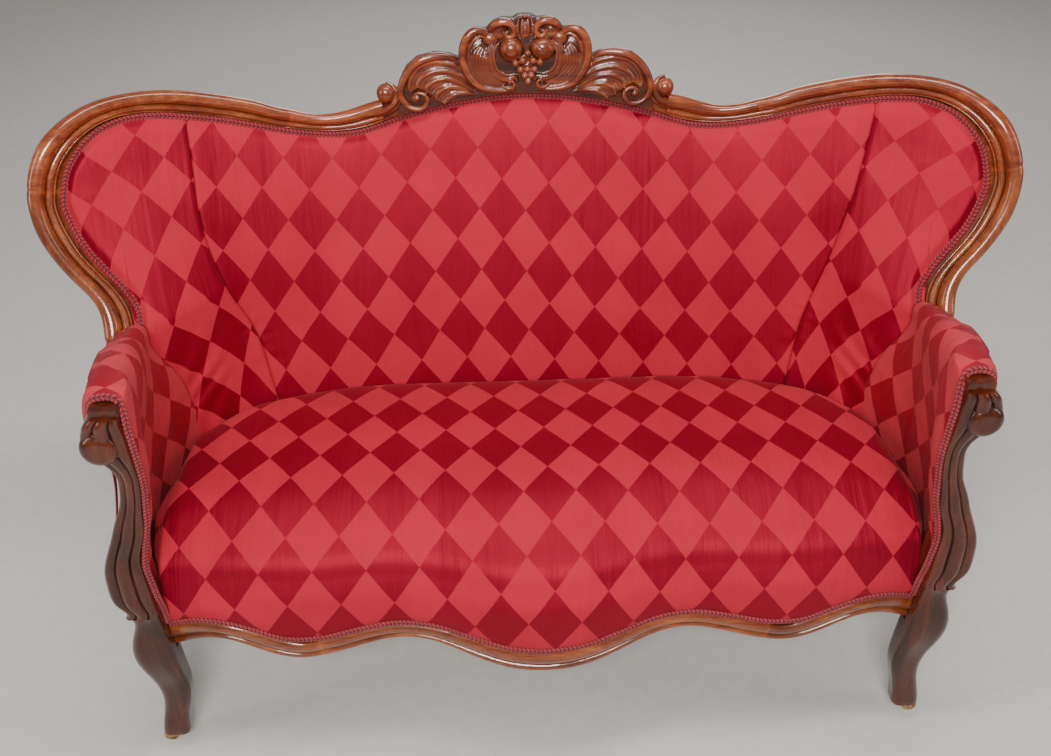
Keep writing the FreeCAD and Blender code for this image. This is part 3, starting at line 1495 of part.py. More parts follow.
def arm_inward(index, distance):
    """The station's points moved into the arm, square to its outline."""
    points = arm_points(index)
    axis = station_axis(index)
    flat = [(p.dot(axis), p.z) for p in points]
    moved = []
    for number, point in enumerate(points):
        before = flat[max(0, number - 1)]
        ahead = flat[min(len(flat) - 1, number + 1)]
        da, dz = ahead[0] - before[0], ahead[1] - before[1]
        length = math.hypot(da, dz)
        side, lift = dz / length * distance, -da / length * distance
        new = point.add(Vector(axis).multiply(side))
        new.z += lift
        if index == len(ARM_STATION_SHARES):
            new.y = arm_end(new.x, new.z)
        moved.append(new)
    return moved


def drop_to(point, z, index):
    """Moves a point of a station's section to a level, staying in the section's plane."""
    point.z = z
    if index == len(ARM_STATION_SHARES):
        point.y = arm_end(point.x, z)


def arm_steps(points):
    return [(points[1],), (points[2], points[3]), (points[4], points[5]),
            (points[6], points[7]), (points[8],)]


def arm_cover_section(index):
    outer = arm_points(index)
    inner = arm_inward(index, size.cover_thickness)
    drop_to(inner[0], outer[0].z, index)
    steps = arm_steps(outer)
    steps.append((inner[8],))
    steps.append((inner[7],))
    steps += [(inner[6], inner[5]), (inner[4], inner[3]), (inner[2], inner[1])]
    steps.append((inner[0],))
    return closed_wire(outer[0], steps)


# Arm rail: straight, from the back of the post to the front of the stile's lower post
post_share = 0.80
rail_front = Vector(leg_x - 0.115 * size.arm_width, arm_start - size.soft_gap * 2,
                    arm_floor + 0.845 * size.arm_rise)
rail_rear = between(post_foot, post_head, post_share)
rail_rear.y -= size.post_thickness / 2
rail_rear.x -= 0.06 * size.arm_width
half_rail = size.arm_rail_size / 2


def rail_quad(centre, gap=0.0):
    half = half_rail + gap
    points = [centre.add(Vector(a * half, 0, c * half))
              for a, c in ((-1, -1), (1, -1), (1, 1), (-1, 1))]
    return closed_wire(points[0], [(p,) for p in points[1:]])


arm_rail = loft([rail_quad(rail_front), rail_quad(rail_rear)], True)
arm_rail = clear_of(arm_rail, "back_stile_right")
add("arm_rail_right", arm_rail)
add("arm_rail_left", mirrored(arm_rail))

# Back of the arm's stuffing at each station, off the leg line in shares of the arm's width
ARM_WEB_SHARES = [0.23, 0.40, 0.47, 0.40, 0.0]


def arm_stuffing_section(index):
    inner = arm_inward(index, size.cover_thickness + size.soft_gap)
    floor = size.rail_top + size.body_gap
    drop_to(inner[0], floor, index)
    middle = arm_points(index)[5]
    share = (middle.y - rail_front.y) / (rail_rear.y - rail_front.y)
    rail = between(rail_front, rail_rear, share)
    inner_x = rail.x - half_rail - size.soft_gap
    web_x = leg_x + ARM_WEB_SHARES[index] * size.arm_width
    high = rail.z + half_rail + size.soft_gap
    low = rail.z - half_rail - size.soft_gap
    corners = []
    for x, z in ((inner[7].x, high), (inner_x, high), (inner_x, low), (web_x, floor)):
        if index < len(ARM_STATION_SHARES):
            across = (x - leg_x) / size.arm_width - ARM_STATION_SHARES[index][0]
            y = (arm_start + ARM_STATION_SHARES[index][1] * arm_length
                 - ARM_STATION_SHARES[index][2] * across * size.arm_width)
        else:
            y = arm_end(x, z)
        corners.append(Vector(x, y, z))
    steps = arm_steps(inner)[:-1]
    steps += [(corner,) for corner in corners]
    return closed_wire(inner[0], steps)


stations = range(len(ARM_SHARES))
leg_top_space = box(
    (leg_x - size.leg_top_width, leg_x + size.leg_top_width),
    (0, block_back + size.soft_gap),
    (size.rail_top - size.tack_step, size.leg_height + size.soft_gap))
arm_cover = loft([arm_cover_section(index) for index in stations]).cut(leg_top_space)
add("inside_arm_cover_right", arm_cover)
add("inside_arm_cover_left", mirrored(arm_cover))
arm_stuffing = loft([arm_stuffing_section(index) for index in stations]).cut(leg_top_space)

# Outside of the arm: height share of the arm's rise and sideways share of its width
OUTSIDE_ARM_SHARES = [
    (0.0, [(0.22, 0.80), (-0.01, 0.66), (0.17, 0.43), (0.45, 0.265), (0.35, 0.05), (0.30, -0.12)]),
    (0.33, [(0.37, 0.77), (0.29, 0.64), (0.36, 0.43), (0.53, 0.265), (0.49, 0.05), (0.46, -0.12)]),
    (0.68, [(0.60, 0.70), (0.57, 0.60), (0.56, 0.43), (0.62, 0.265), (0.62, 0.05), (0.61, -0.12)]),
    (1.02, [(0.84, 0.69), (0.80, 0.60), (0.74, 0.43), (0.70, 0.265), (0.68, 0.05), (0.66, -0.12)]),
    (1.30, [(0.93, 0.67), (0.91, 0.60), (0.82, 0.43), (0.75, 0.265), (0.70, 0.05), (0.66, -0.12)]),
]


def outside_arm_points(row, thickness):
    along, places = row
    y = arm_start + along * arm_length
    return [Vector(leg_x + side * size.arm_width - thickness, y, arm_floor + lift * size.arm_rise)
            for side, lift in places]


def outside_arm_section(row, near, far):
    outer = outside_arm_points(row, near)
    inner = outside_arm_points(row, far)
    steps = [(outer[1], outer[2]), (outer[3], outer[4]), (outer[5],), (inner[5],),
             (inner[4],), (inner[3], inner[2]), (inner[1], inner[0])]
    return closed_wire(outer[0], steps)


outside_arm = loft([outside_arm_section(row, 0, size.outside_cover_thickness)
                    for row in OUTSIDE_ARM_SHARES])
leg_side_space = box(
    (leg_x - size.leg_top_width, leg_x + size.leg_top_width),
    (0, block_back + size.soft_gap),
    (size.front_rail_low, size.leg_height + size.soft_gap))
outside_arm = outside_arm.cut(leg_side_space)
outside_arm = clear_of(outside_arm, "inside_arm_cover_right")
add("outside_arm_cover_right", outside_arm)
add("outside_arm_cover_left", mirrored(outside_arm))


def largest(shape):
    return max(shape.Solids, key=lambda solid: solid.Volume)


# The stuffing is cut back from the rail and from the outside sheet
rail_room = loft([rail_quad(rail_front, size.soft_gap), rail_quad(rail_rear, size.soft_gap)], True)
sheet_room = loft([outside_arm_section(row, -size.arm_width, size.outside_cover_thickness
                                       + size.soft_gap) for row in OUTSIDE_ARM_SHARES])
arm_stuffing = largest(arm_stuffing.cut(rail_room).cut(sheet_room))
add("arm_stuffing_right", arm_stuffing)
add("arm_stuffing_left", mirrored(arm_stuffing))


# Braid beside the post on the inside of the arm, and down its outside
def arm_braid():
    inner = arm_inward(0, -size.soft_gap)
    outer = arm_inward(0, -size.soft_gap - size.gimp_thickness)
    steps = arm_steps(inner)
    steps.append((outer[8],))
    steps.append((outer[7],))
    steps += [(outer[6], outer[5]), (outer[4], outer[3]), (outer[2], outer[1])]
    steps.append((outer[0],))
    wire = closed_wire(inner[0], steps)
    wire.translate(Vector(0, -size.soft_gap, 0))
    return Part.Face(wire).extrude(Vector(0, size.gimp_width, 0))


gimp_arm = arm_braid().cut(arm_cover).cut(leg_top_space)
add("gimp_arm_right", gimp_arm)
add("gimp_arm_left", mirrored(gimp_arm))


def outside_braid():
    near = -size.soft_gap * 2 - size.gimp_thickness
    wire = outside_arm_section(OUTSIDE_ARM_SHARES[0], near, -size.soft_gap)
    wire.translate(Vector(0, -size.soft_gap, 0))
    return Part.Face(wire).extrude(Vector(0, size.gimp_width, 0))


gimp_outside_arm = outside_braid().cut(outside_arm).cut(leg_side_space)
add("gimp_outside_arm_right", gimp_outside_arm)
add("gimp_outside_arm_left", mirrored(gimp_outside_arm))


# Braid along the front of the seat, on the cover's lower edge above the rail
def seat_braid_section(x):
    face, low, high = rail_values(x)
    back = face + size.tack_step - size.cover_thickness - size.tack_gap - size.soft_gap
    z = high + size.tack_gap
    points = [Vector(x, back - size.gimp_thickness, z), Vector(x, back, z),
              Vector(x, back, z + size.gimp_width),
              Vector(x, back - size.gimp_thickness, z + size.gimp_width)]
    return closed_wire(points[0], [(p,) for p in points[1:]])


braid_places = [row[0] * rail_half for row in FRONT_RAIL_SHARES[:-1]]
braid_places.append(rail_half - size.soft_gap * 4)
add("gimp_seat_front", half_form(seat_braid_section, braid_places))

# Carved crest, drawn flat on the face of the back and then leaned to its rake.
# Places are a share of the crest's half length sideways and a share of its rise upwards.
CREST_RIM_SHARES = [
    (1.06, -0.273), (1.06, 0.083),
    (0.912, 0.424), (0.697, 0.549),
    (0.584, 0.538), (0.506, 0.470),
    (0.503, 0.667), (0.449, 0.765),
    (0.382, 0.845), (0.279, 0.818),
    (0.202, 0.955), (0.108, 0.932),
    (0.058, 0.992), (0.0, 1.0),
]
CREST_FRAME_SHARES = (0.455, 0.44, 0.43, 0.33)
CREST_FRAME_CENTRE_SHARE = 0.47
CREST_BALL_SHARES = (1.09, 0.085)
CREST_VOLUTE_SHARES = (0.856, -0.011)
CREST_RIB_ROOT_SHARES = (0.54, 0.08)
CREST_RIB_TIP_SHARES = [(0.575, 0.42), (0.675, 0.44), (0.775, 0.39), (0.865, 0.27)]
CREST_CURL_SHARES = [(0.117, 0.765, 0.20), (0.375, 0.60, 0.22), (0.43, 0.30, 0.20),
                     (0.11, 0.14, 0.13)]
FRUIT_SHARES = [(-0.108, 0.583), (0.144, 0.583)]
GRAPE_SHARES = [
    (0.018, 0.520), (-0.022, 0.430), (0.058, 0.427), (0.111, 0.408), (-0.076, 0.397),
    (-0.040, 0.321), (0.013, 0.325), (0.067, 0.323), (-0.007, 0.245), (0.043, 0.248),
    (0.018, 0.152),
]
crest_base = CREST_LINE_SHARES[0][1] * size.overall_height
crest_rise = (size.overall_height - crest_base) / math.cos(rake)
crest_back = size.frame_ledge_depth - size.body_gap
relief = size.crest_relief


def crest_spot(side, lift, out=0.0):
    return Vector(side * size.crest_half_length, lift * crest_rise, out)


def crest_plate():
    points = [crest_spot(*place) for place in CREST_RIM_SHARES]
    steps = [(points[1],)]
    steps += [(points[i], points[i + 1]) for i in range(2, len(points), 2)]
    mirror = [Vector(-p.x, p.y, 0) for p in points]
    steps += [(mirror[i], mirror[i - 1]) for i in range(len(points) - 2, 1, -2)]
    steps.append((mirror[0],))
    line = []
    for side, level_share in CREST_LINE_SHARES:
        x = side * half_width
        lift = level_share * size.overall_height - crest_base
        if x < size.crest_half_length - size.body_gap:
            line.append(Vector(x, lift / math.cos(rake) + size.body_gap, 0))
    for p in reversed(line):
        steps.append((Vector(-p.x, p.y, 0),))
    for p in line[1:]:
        steps.append((p,))
    face = Part.Face(closed_wire(points[0], steps))
    face.translate(Vector(0, 0, -crest_back))
    return face.extrude(Vector(0, 0, crest_back))


def stud(side, lift, diameter, out):
    """Round boss that stands out of the ground."""
    radius = diameter / 2
    centre = crest_spot(side, lift)
    return Part.makeCylinder(radius, out + crest_back / 2,
                             centre.add(Vector(0, 0, -crest_back / 2)))


def rib(side, tip):
    """Leaf rib, a raised bar that widens from its root to its tip."""
    root = crest_spot(side * CREST_RIB_ROOT_SHARES[0], CREST_RIB_ROOT_SHARES[1])
    end = crest_spot(side * tip[0], tip[1])
    along = end.sub(root)
    across = Vector(-along.y, along.x, 0)
    across.normalize()
    thin, thick = size.crest_rib_width * 0.2, size.crest_rib_width * 0.4
    corners = [root.sub(across * thin), end.sub(across * thick),
               end.add(across * thick), root.add(across * thin)]
    face = Part.Face(Part.makePolygon(corners + corners[:1]))
    face.translate(Vector(0, 0, -crest_back / 2))
    return face.extrude(Vector(0, 0, crest_back / 2 + relief * RIB_RELIEF_SHARE))


RIB_RELIEF_SHARE = 0.32


def ellipse_prism(width, height, low, high):
    centre = crest_spot(0, CREST_FRAME_CENTRE_SHARE, low)
    half_across = width * size.crest_half_length
    half_up = height * crest_rise
    if half_across < half_up:
        half_across, half_up = half_up, half_across
    curve = Part.Ellipse(centre, half_across, half_up)
    return Part.Face(Part.Wire(curve.toShape())).extrude(Vector(0, 0, high - low))


carving = crest_plate()
wide, tall_share, inner_wide, inner_tall = CREST_FRAME_SHARES
carving = carving.fuse(ellipse_prism(wide, tall_share, -crest_back / 2, relief * 0.75))
carving = carving.cut(ellipse_prism(inner_wide * 0.82, inner_tall, relief * 0.1, relief * 2))
details = []
for side in (-1, 1):
    details.append(stud(side * CREST_VOLUTE_SHARES[0], CREST_VOLUTE_SHARES[1],
                        size.crest_volute_diameter, relief * 0.70))
    details.append(stud(side * CREST_BALL_SHARES[0], CREST_BALL_SHARES[1],
                        size.crest_ball_diameter, relief * 0.55))
    details += [rib(side, tip) for tip in CREST_RIB_TIP_SHARES]
    details += [stud(side * a, b, c * crest_rise, relief * 0.8) for a, b, c in CREST_CURL_SHARES]
for side, lift in FRUIT_SHARES:
    details.append(stud(side, lift, size.fruit_diameter, relief * 0.7))
for side, lift in GRAPE_SHARES:
    details.append(stud(side, lift, size.grape_diameter * 0.9, relief * 0.8))
carving = carving.fuse(details).removeSplitter()
crest_piece = add("crest_carving", carving)
crest_piece.Placement = Placement(
    Vector(0, face_y(0, crest_base), crest_base),
    Rotation(Vector(1, 0, 0), 90 - size.back_rake))

# The whole piece is set with its box centred over the origin
doc.recompute()
fore_aft = []
for name in ("front_seat_rail_centre", "crest_rail", "crest_carving", "gimp_outside_back",
             "back_leg_right"):
    reach = pieces[name].Shape.optimalBoundingBox(False, False)
    fore_aft += [reach.YMin, reach.YMax]
middle_y = (min(fore_aft) + max(fore_aft)) / 2
for piece in pieces.values():
    here = piece.Placement
    piece.Placement = Placement(here.Base.sub(Vector(0, middle_y, 0)), here.Rotation)
doc.recompute()

faults = []
for item in doc.Objects:
    if "Invalid" in item.State or "Error" in item.State:
        faults.append("%s is %s" % (item.Label, item.State))
for name, piece in pieces.items():
    if piece.Shape.isNull() or not piece.Shape.isValid() or not piece.Shape.Solids:
        faults.append("%s has a bad shape" % name)
if faults:
    raise RuntimeError("; ".join(faults))

os.makedirs("parts", exist_ok=True)
for name, piece in pieces.items():
    piece.Shape.exportStep(os.path.join("parts", name + ".step"))
print("%d parts written" % len(pieces))
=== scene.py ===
import math
import bpy
import bmesh
import numpy as np
from mathutils import Matrix, Vector


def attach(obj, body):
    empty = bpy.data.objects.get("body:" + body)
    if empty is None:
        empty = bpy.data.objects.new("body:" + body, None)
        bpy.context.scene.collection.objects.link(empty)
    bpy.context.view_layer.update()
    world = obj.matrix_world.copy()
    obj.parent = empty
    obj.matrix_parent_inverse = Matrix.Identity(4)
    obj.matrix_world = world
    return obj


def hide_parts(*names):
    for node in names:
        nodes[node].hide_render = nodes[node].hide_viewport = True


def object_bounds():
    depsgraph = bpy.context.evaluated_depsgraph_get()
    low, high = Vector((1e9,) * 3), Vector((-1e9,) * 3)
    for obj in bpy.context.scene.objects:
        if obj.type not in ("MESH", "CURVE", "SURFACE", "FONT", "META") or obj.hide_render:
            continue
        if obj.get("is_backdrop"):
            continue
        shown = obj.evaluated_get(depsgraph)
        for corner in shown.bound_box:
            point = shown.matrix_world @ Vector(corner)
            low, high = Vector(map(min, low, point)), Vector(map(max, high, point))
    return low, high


# Rococo-revival settee: polished and carved show wood, damask pads, braid and brass casters.
# Metres. Shapes are drawn with y = 0 on the front leg line, and SHIFT sets them into place.
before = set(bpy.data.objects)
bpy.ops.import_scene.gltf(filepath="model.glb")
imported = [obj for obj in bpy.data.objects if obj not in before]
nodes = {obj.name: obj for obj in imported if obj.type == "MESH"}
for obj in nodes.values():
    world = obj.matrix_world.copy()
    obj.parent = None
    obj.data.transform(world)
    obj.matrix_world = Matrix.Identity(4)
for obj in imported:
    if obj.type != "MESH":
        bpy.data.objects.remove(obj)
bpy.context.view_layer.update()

SHIFT = 0.30989
# half the width over the shoulders, the height, and the back's lean
HALF = 0.8035
TALL = 1.036
LEAN = math.radians(12)
RAKE = math.tan(LEAN)


# Face of the back
def smooth(t):
    t = np.clip(t, 0, 1)
    return t * t * (3 - 2 * t)


def leaning(z):
    """y of the flat leaning face that the back is bent from."""
    return 0.636 + RAKE * (z - 0.899)


def face(x, z):
    """y of the back's face: bowed, its sides swept forward down to the foot of the stile."""
    x = np.abs(np.asarray(x, float))
    z = np.asarray(z, float)
    bow = 0.223 * (np.maximum(0, x - 0.25) / 0.5535) ** 2
    side = smooth((x - 0.5) / 0.2)
    foot = 0.615
    sweep = 0.137 * smooth((0.86 - np.maximum(z, foot)) / 0.33)
    sweep = sweep - np.where(z < foot, RAKE * (foot - z), 0)
    return leaning(z) - bow - side * sweep


def slopes(x, z):
    """Slope of the face sideways and upward."""
    e = 0.0015
    return ((face(x + e, z) - face(x - e, z)) / (2 * e),
            (face(x, z + e) - face(x, z - e)) / (2 * e))


def behind(x, z, depth):
    """Points a true depth behind the face, in the plane of constant x."""
    dx, dz = slopes(x, z)
    reach = depth * np.sqrt(1 + dx * dx + dz * dz) / (1 + dz * dz)
    return np.stack([x + 0 * reach, face(x, z) + reach, z - reach * dz], -1)


# Lines
def unit(v):
    return v / np.linalg.norm(v, axis=-1, keepdims=True)


def tangent(line):
    return unit(np.gradient(line, axis=0))


def run_length(line):
    """Distance run along a line, at each of its points."""
    step = np.linalg.norm(np.diff(line, axis=0), axis=1)
    return np.concatenate([[0], np.cumsum(step)])


def spline(points, count):
    """Smooth line through points, evenly divided."""
    p = np.asarray(points, float)
    q = np.concatenate([2 * p[:1] - p[1:2], p, 2 * p[-1:] - p[-2:-1]])
    t = np.linspace(0, 1, 24, endpoint=False)[:, None]
    pieces = []
    for a, b, c, d in zip(q, q[1:], q[2:], q[3:]):
        pieces.append(0.5 * (2 * b + (c - a) * t + (2 * a - 5 * b + 4 * c - d) * t ** 2
                             + (3 * b - a - 3 * c + d) * t ** 3))
    line = np.concatenate(pieces + [q[-2:-1]])
    s = run_length(line)
    want = np.linspace(0, s[-1], count)
    return np.stack([np.interp(want, s, column) for column in line.T], -1)


def lookup(rows, value, column=1):
    """Smooth reading of a table."""
    xs, ys = [r[0] for r in rows], [r[column] for r in rows]
    rise = np.gradient(ys, xs)
    value = np.clip(value, xs[0], xs[-1])
    i = np.clip(np.searchsorted(xs, value) - 1, 0, len(xs) - 2)
    x0, y0, m0 = (np.take(part, i) for part in (xs, ys, rise))
    x1, y1, m1 = (np.take(part, i + 1) for part in (xs, ys, rise))
    h = x1 - x0
    t = (value - x0) / h
    return ((2 * t ** 3 - 3 * t ** 2 + 1) * y0 + (t ** 3 - 2 * t ** 2 + t) * h * m0
            + (-2 * t ** 3 + 3 * t ** 2) * y1 + (t ** 3 - t ** 2) * h * m1)


# Pieces
def link(name, data):
    """A new object in the scene."""
    piece = bpy.data.objects.new(name, data)
    bpy.context.scene.collection.objects.link(piece)
    return piece


def dress(piece, mat):
    piece.data.materials.clear()
    piece.data.materials.append(mat)


def make(name, verts, faces, uv=None):
    verts = np.array(verts, float)
    verts[:, 1] -= SHIFT
    mesh = bpy.data.meshes.new(name)
    mesh.from_pydata([tuple(v) for v in verts], [], [tuple(int(i) for i in f) for f in faces])
    if uv is not None:
        layer = mesh.uv_layers.new(name="cloth")
        index = np.empty(len(mesh.loops), np.int32)
        mesh.loops.foreach_get("vertex_index", index)
        layer.data.foreach_set("uv", np.asarray(uv, np.float32)[index].ravel())
        bm = bmesh.new()
        bm.from_mesh(mesh)
        bmesh.ops.recalc_face_normals(bm, faces=bm.faces)
        bm.to_mesh(mesh)
        bm.free()
    mesh.validate()
    mesh.shade_smooth()
    piece = link(name, mesh)
    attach(piece, "frame")
    return piece


def grid_faces(rows, columns, start=0, flip=False, closed=False):
    out = []
    for r in range(rows - 1):
        for c in range(columns if closed else columns - 1):
            a = start + r * columns + c
            b = start + r * columns + (c + 1) % columns
            d, e = a + columns, b + columns
            out.append((a, d, e, b) if flip else (a, b, e, d))
    return out


def tube_faces(rows, columns):
    """Faces of a tube with closed ends."""
    last = (rows - 1) * columns
    ends = [tuple(range(columns))[::-1], tuple(range(last, last + columns))]
    return grid_faces(rows, columns, closed=True) + ends


def slab(name, front, back, uv):
    """Closed form between two grids of points of one size; uv is given for the front."""
    rows, columns = front.shape[:2]
    n = rows * columns
    faces = grid_faces(rows, columns) + grid_faces(rows, columns, n, True)
    index = np.arange(n).reshape(rows, columns)
    rim = [*index[:, 0], *index[-1, 1:], *index[-2::-1, -1], *index[0, -2:0:-1]]
    for a, b in zip(rim, rim[1:] + rim[:1]):
        faces.append((b + n, a + n, a, b))
    verts = np.concatenate([front.reshape(-1, 3), back.reshape(-1, 3)])
    return make(name, verts, faces, np.tile(uv.reshape(-1, 2), (2, 1)))


# Looks
def feed(socket, value):
    """Puts another node's value, a colour or a number into a socket."""
    if isinstance(value, Value):
        socket.id_data.links.new(value.socket, socket)
    elif socket.type == "RGBA":
        socket.default_value = (*value, 1)
    else:
        socket.default_value = value


class Value:
    """A value in a look; sums and products of values become nodes."""

    def __init__(self, socket):
        self.socket = socket

    def maths(self, operation, other=0, clamp=False, swap=False):
        made = self.socket.id_data.nodes.new("ShaderNodeMath")
        made.operation, made.use_clamp = operation, clamp
        feed(made.inputs[1 if swap else 0], self)
        feed(made.inputs[0 if swap else 1], other)
        return Value(made.outputs[0])

    def __add__(self, other):
        return self.maths("ADD", other)

    def __sub__(self, other):
        return self.maths("SUBTRACT", other)

    def __rsub__(self, other):
        return self.maths("SUBTRACT", other, swap=True)

    def __mul__(self, other):
        return self.maths("MULTIPLY", other)


class Look:
    """A material, with short names for the nodes it is made of."""

    def __init__(self, name):
        self.mat = bpy.data.materials.new(name)
        self.mat.use_nodes = True
        self.tree = self.mat.node_tree

    def node(self, kind, output=0, **inputs):
        made = self.tree.nodes.new("ShaderNode" + kind)
        for key, value in inputs.items():
            feed(made.inputs[key], value)
        return Value(made.outputs[output])

    def place(self, scale=(1, 1, 1), shift=(0, 0, 0)):
        """Place on the object, stretched."""
        return self.node("Mapping", Vector=self.node("TexCoord", "Object"), Scale=scale,
                         Location=shift)

    def cloth(self, *scale):
        """Place on the cloth, stretched."""
        made = self.tree.nodes.new("ShaderNodeUVMap")
        made.uv_map = "cloth"
        return self.node("Mapping", Vector=Value(made.outputs[0]), Scale=scale)

    def apart(self, vector):
        made = self.tree.nodes.new("ShaderNodeSeparateXYZ")
        feed(made.inputs[0], vector)
        return [Value(output) for output in made.outputs]

    def noise(self, vector, scale, detail, rough, warp=0):
        return self.node("TexNoise", Vector=vector, Scale=scale, Detail=detail, Roughness=rough,
                         Distortion=warp)

    def ramp(self, value, *stops):
        """Colours between stops; a single number stands for a grey."""
        made = self.tree.nodes.new("ShaderNodeValToRGB")
        bands = made.color_ramp.elements
        while len(bands) < len(stops):
            bands.new(0.5)
        for band, (position, colour) in zip(bands, stops):
            band.position = position
            band.color = (*(colour if isinstance(colour, tuple) else (colour,) * 3), 1)
        feed(made.inputs[0], value)
        return Value(made.outputs[0])

    def mix(self, share, a, b, blend="MIX"):
        made = self.tree.nodes.new("ShaderNodeMix")
        made.data_type, made.blend_type = "RGBA", blend
        for index, value in ((0, share), (6, a), (7, b)):
            feed(made.inputs[index], value)
        return Value(made.outputs[2])

    def shaded(self, colour, value, *stops, share=1):
        """A colour multiplied by a ramp over a value."""
        return self.mix(share, colour, self.ramp(value, *stops), "MULTIPLY")

    def bump(self, height, strength, distance, **after):
        return self.node("Bump", Height=height, Strength=strength, Distance=distance, **after)

    def done(self, **inputs):
        """Feeds the surface itself; an underscore stands for a space."""
        shader = self.tree.nodes["Principled BSDF"]
        for key, value in inputs.items():
            feed(shader.inputs[key.replace("_", " ")], value)
        return self.mat


def toned(colour, share):
    return tuple(min(1, c * share) for c in colour)


def wood(name, along, light, middle, dark, gloss=0.24, coat=0.9, seed=0, worn_and_shaded=True):
    """Polished wood; the grain runs along one axis."""
    look = Look(name)
    plain = look.place()
    scale = tuple(1.6 if axis == along else 22 for axis in "xyz")
    grain = look.place(scale, (seed, seed * 1.7, seed * 0.6))
    broad = look.noise(grain, 1.1, 5, 0.6, 1.3)
    fine = look.noise(grain, 7, 6, 0.65, 0.4)
    pores = look.noise(grain, 26, 3, 0.6)
    blotch = look.noise(plain, 5 + seed, 3, 0.5)
    colour = look.ramp(broad * 0.62 + fine * 0.38, (0.3, dark), (0.48, middle), (0.66, light))
    pore_share = look.ramp(pores, (0.36, 1), (0.47, 0)) * 0.35
    colour = look.mix(pore_share, colour, toned(dark, 0.35))
    colour = look.shaded(colour, blotch, (0.32, (0.62, 0.55, 0.5)), (0.62, 1), share=0.8)
    if worn_and_shaded:
        # painted shade: darker in the hollows where pointiness is low; lighter on sharp edges,
        # partly rubbed wear and partly painted highlight
        edge = look.node("NewGeometry", "Pointiness")
        colour = look.shaded(colour, edge, (0.42, (0.22, 0.17, 0.15)), (0.495, 0.92),
                             (0.56, (1.35, 1.25, 1.15)))
        rubbed = look.ramp(look.noise(plain, 34, 4, 0.7), (0.6, 0), (0.74, 1)) * 0.1
        colour = look.mix(rubbed, colour, toned(light, 1.4))
    rough = look.ramp(look.noise(plain, 18, 4, 0.6), (0.3, gloss * 0.8), (0.75, gloss * 1.7))
    normal = look.bump(fine * 0.5 + pores * 0.5, 0.1, 0.0006)
    normal = look.bump(look.noise(plain, 55, 2, 0.5), 0.1, 0.0012, Normal=normal)
    return look.done(Base_Color=colour, Roughness=rough, Coat_Weight=coat, Coat_Roughness=0.06,
                     Specular_IOR_Level=0.28, Normal=normal)


# Light, middle and dark tones
RAIL_DARK = (0.078, 0.013, 0.006)
RAIL_WOOD = ((0.43, 0.108, 0.032), (0.245, 0.048, 0.015), RAIL_DARK)
SIDE_RAIL = ((0.36, 0.1, 0.03), (0.19, 0.043, 0.014), (0.07, 0.014, 0.006))
LEG_DARK = (0.016, 0.004, 0.002)
LEG_WOOD = ((0.115, 0.02, 0.007), (0.052, 0.009, 0.004), LEG_DARK)
ARM_POST = ((0.135, 0.026, 0.008), (0.062, 0.011, 0.004), LEG_DARK)
BEECH = ((0.62, 0.44, 0.26), (0.52, 0.34, 0.19), (0.36, 0.22, 0.11))
# Polished pieces: grain, tones, roughness, coat, and a shift of the figure
for name, along, tones, gloss, coat, seed in [
        ("crest_rail", "x", RAIL_WOOD, 0.24, 0.9, 0.3),
        ("shoulder_rail_right", "x", RAIL_WOOD, 0.24, 0.9, 1.9),
        ("shoulder_rail_left", "x", ((0.43, 0.13, 0.035), *RAIL_WOOD[1:]), 0.24, 0.9, 3.1),
        ("back_stile_right", "z", ((0.4, 0.115, 0.032), (0.24, 0.058, 0.017), RAIL_DARK),
         0.24, 0.9, 4.4),
        ("back_stile_left", "z", ((0.36, 0.1, 0.03), (0.21, 0.05, 0.016), RAIL_DARK),
         0.24, 0.9, 5.2),
        ("front_seat_rail_centre", "x", ((0.42, 0.115, 0.034), (0.22, 0.05, 0.016),
                                         (0.075, 0.015, 0.006)), 0.24, 0.9, 6.6),
        ("front_seat_rail_right", "x", SIDE_RAIL, 0.24, 0.9, 7.9),
        ("front_seat_rail_left", "x", SIDE_RAIL, 0.24, 0.9, 8.8),
        ("front_leg_right", "z", LEG_WOOD, 0.24, 0.5, 9.5),
        ("front_leg_left", "z", LEG_WOOD, 0.24, 0.5, 10.3),
        ("back_leg_right", "z", LEG_WOOD, 0.34, 0.3, 11.1),
        ("back_leg_left", "z", LEG_WOOD, 0.34, 0.3, 12.7),
        ("arm_post_right", "z", ARM_POST, 0.24, 0.5, 13.2),
        ("arm_post_left", "z", ARM_POST, 0.24, 0.5, 14.6)]:
    dress(nodes[name], wood("wood_" + name, along, *tones, gloss, coat, seed))
# Plain beech under the covers
for along, seed, names in [
        ("x", 2, ["back_seat_rail", "back_tack_rail", "wing_tack_rails", "corner_blocks",
                  "frame_dowels"]),
        ("y", 3, ["seat_cross_braces", "arm_rail_right", "arm_rail_left",
                  "side_seat_rail_right", "side_seat_rail_left"])]:
    beech = wood("wood_beech_" + along, along, *BEECH, 0.55, 0, seed, False)
    for name in names:
        dress(nodes[name], beech)


def metal(name, bright, dull, rough):
    look = Look(name)
    spots = look.noise(look.place(), 90, 5, 0.65)
    return look.done(Base_Color=look.ramp(spots, (0.35, dull), (0.62, bright)), Metallic=1,
                     Roughness=look.ramp(spots, (0.3, rough * 1.6), (0.7, rough * 0.7)),
                     Normal=look.bump(spots, 0.12, 0.0004))


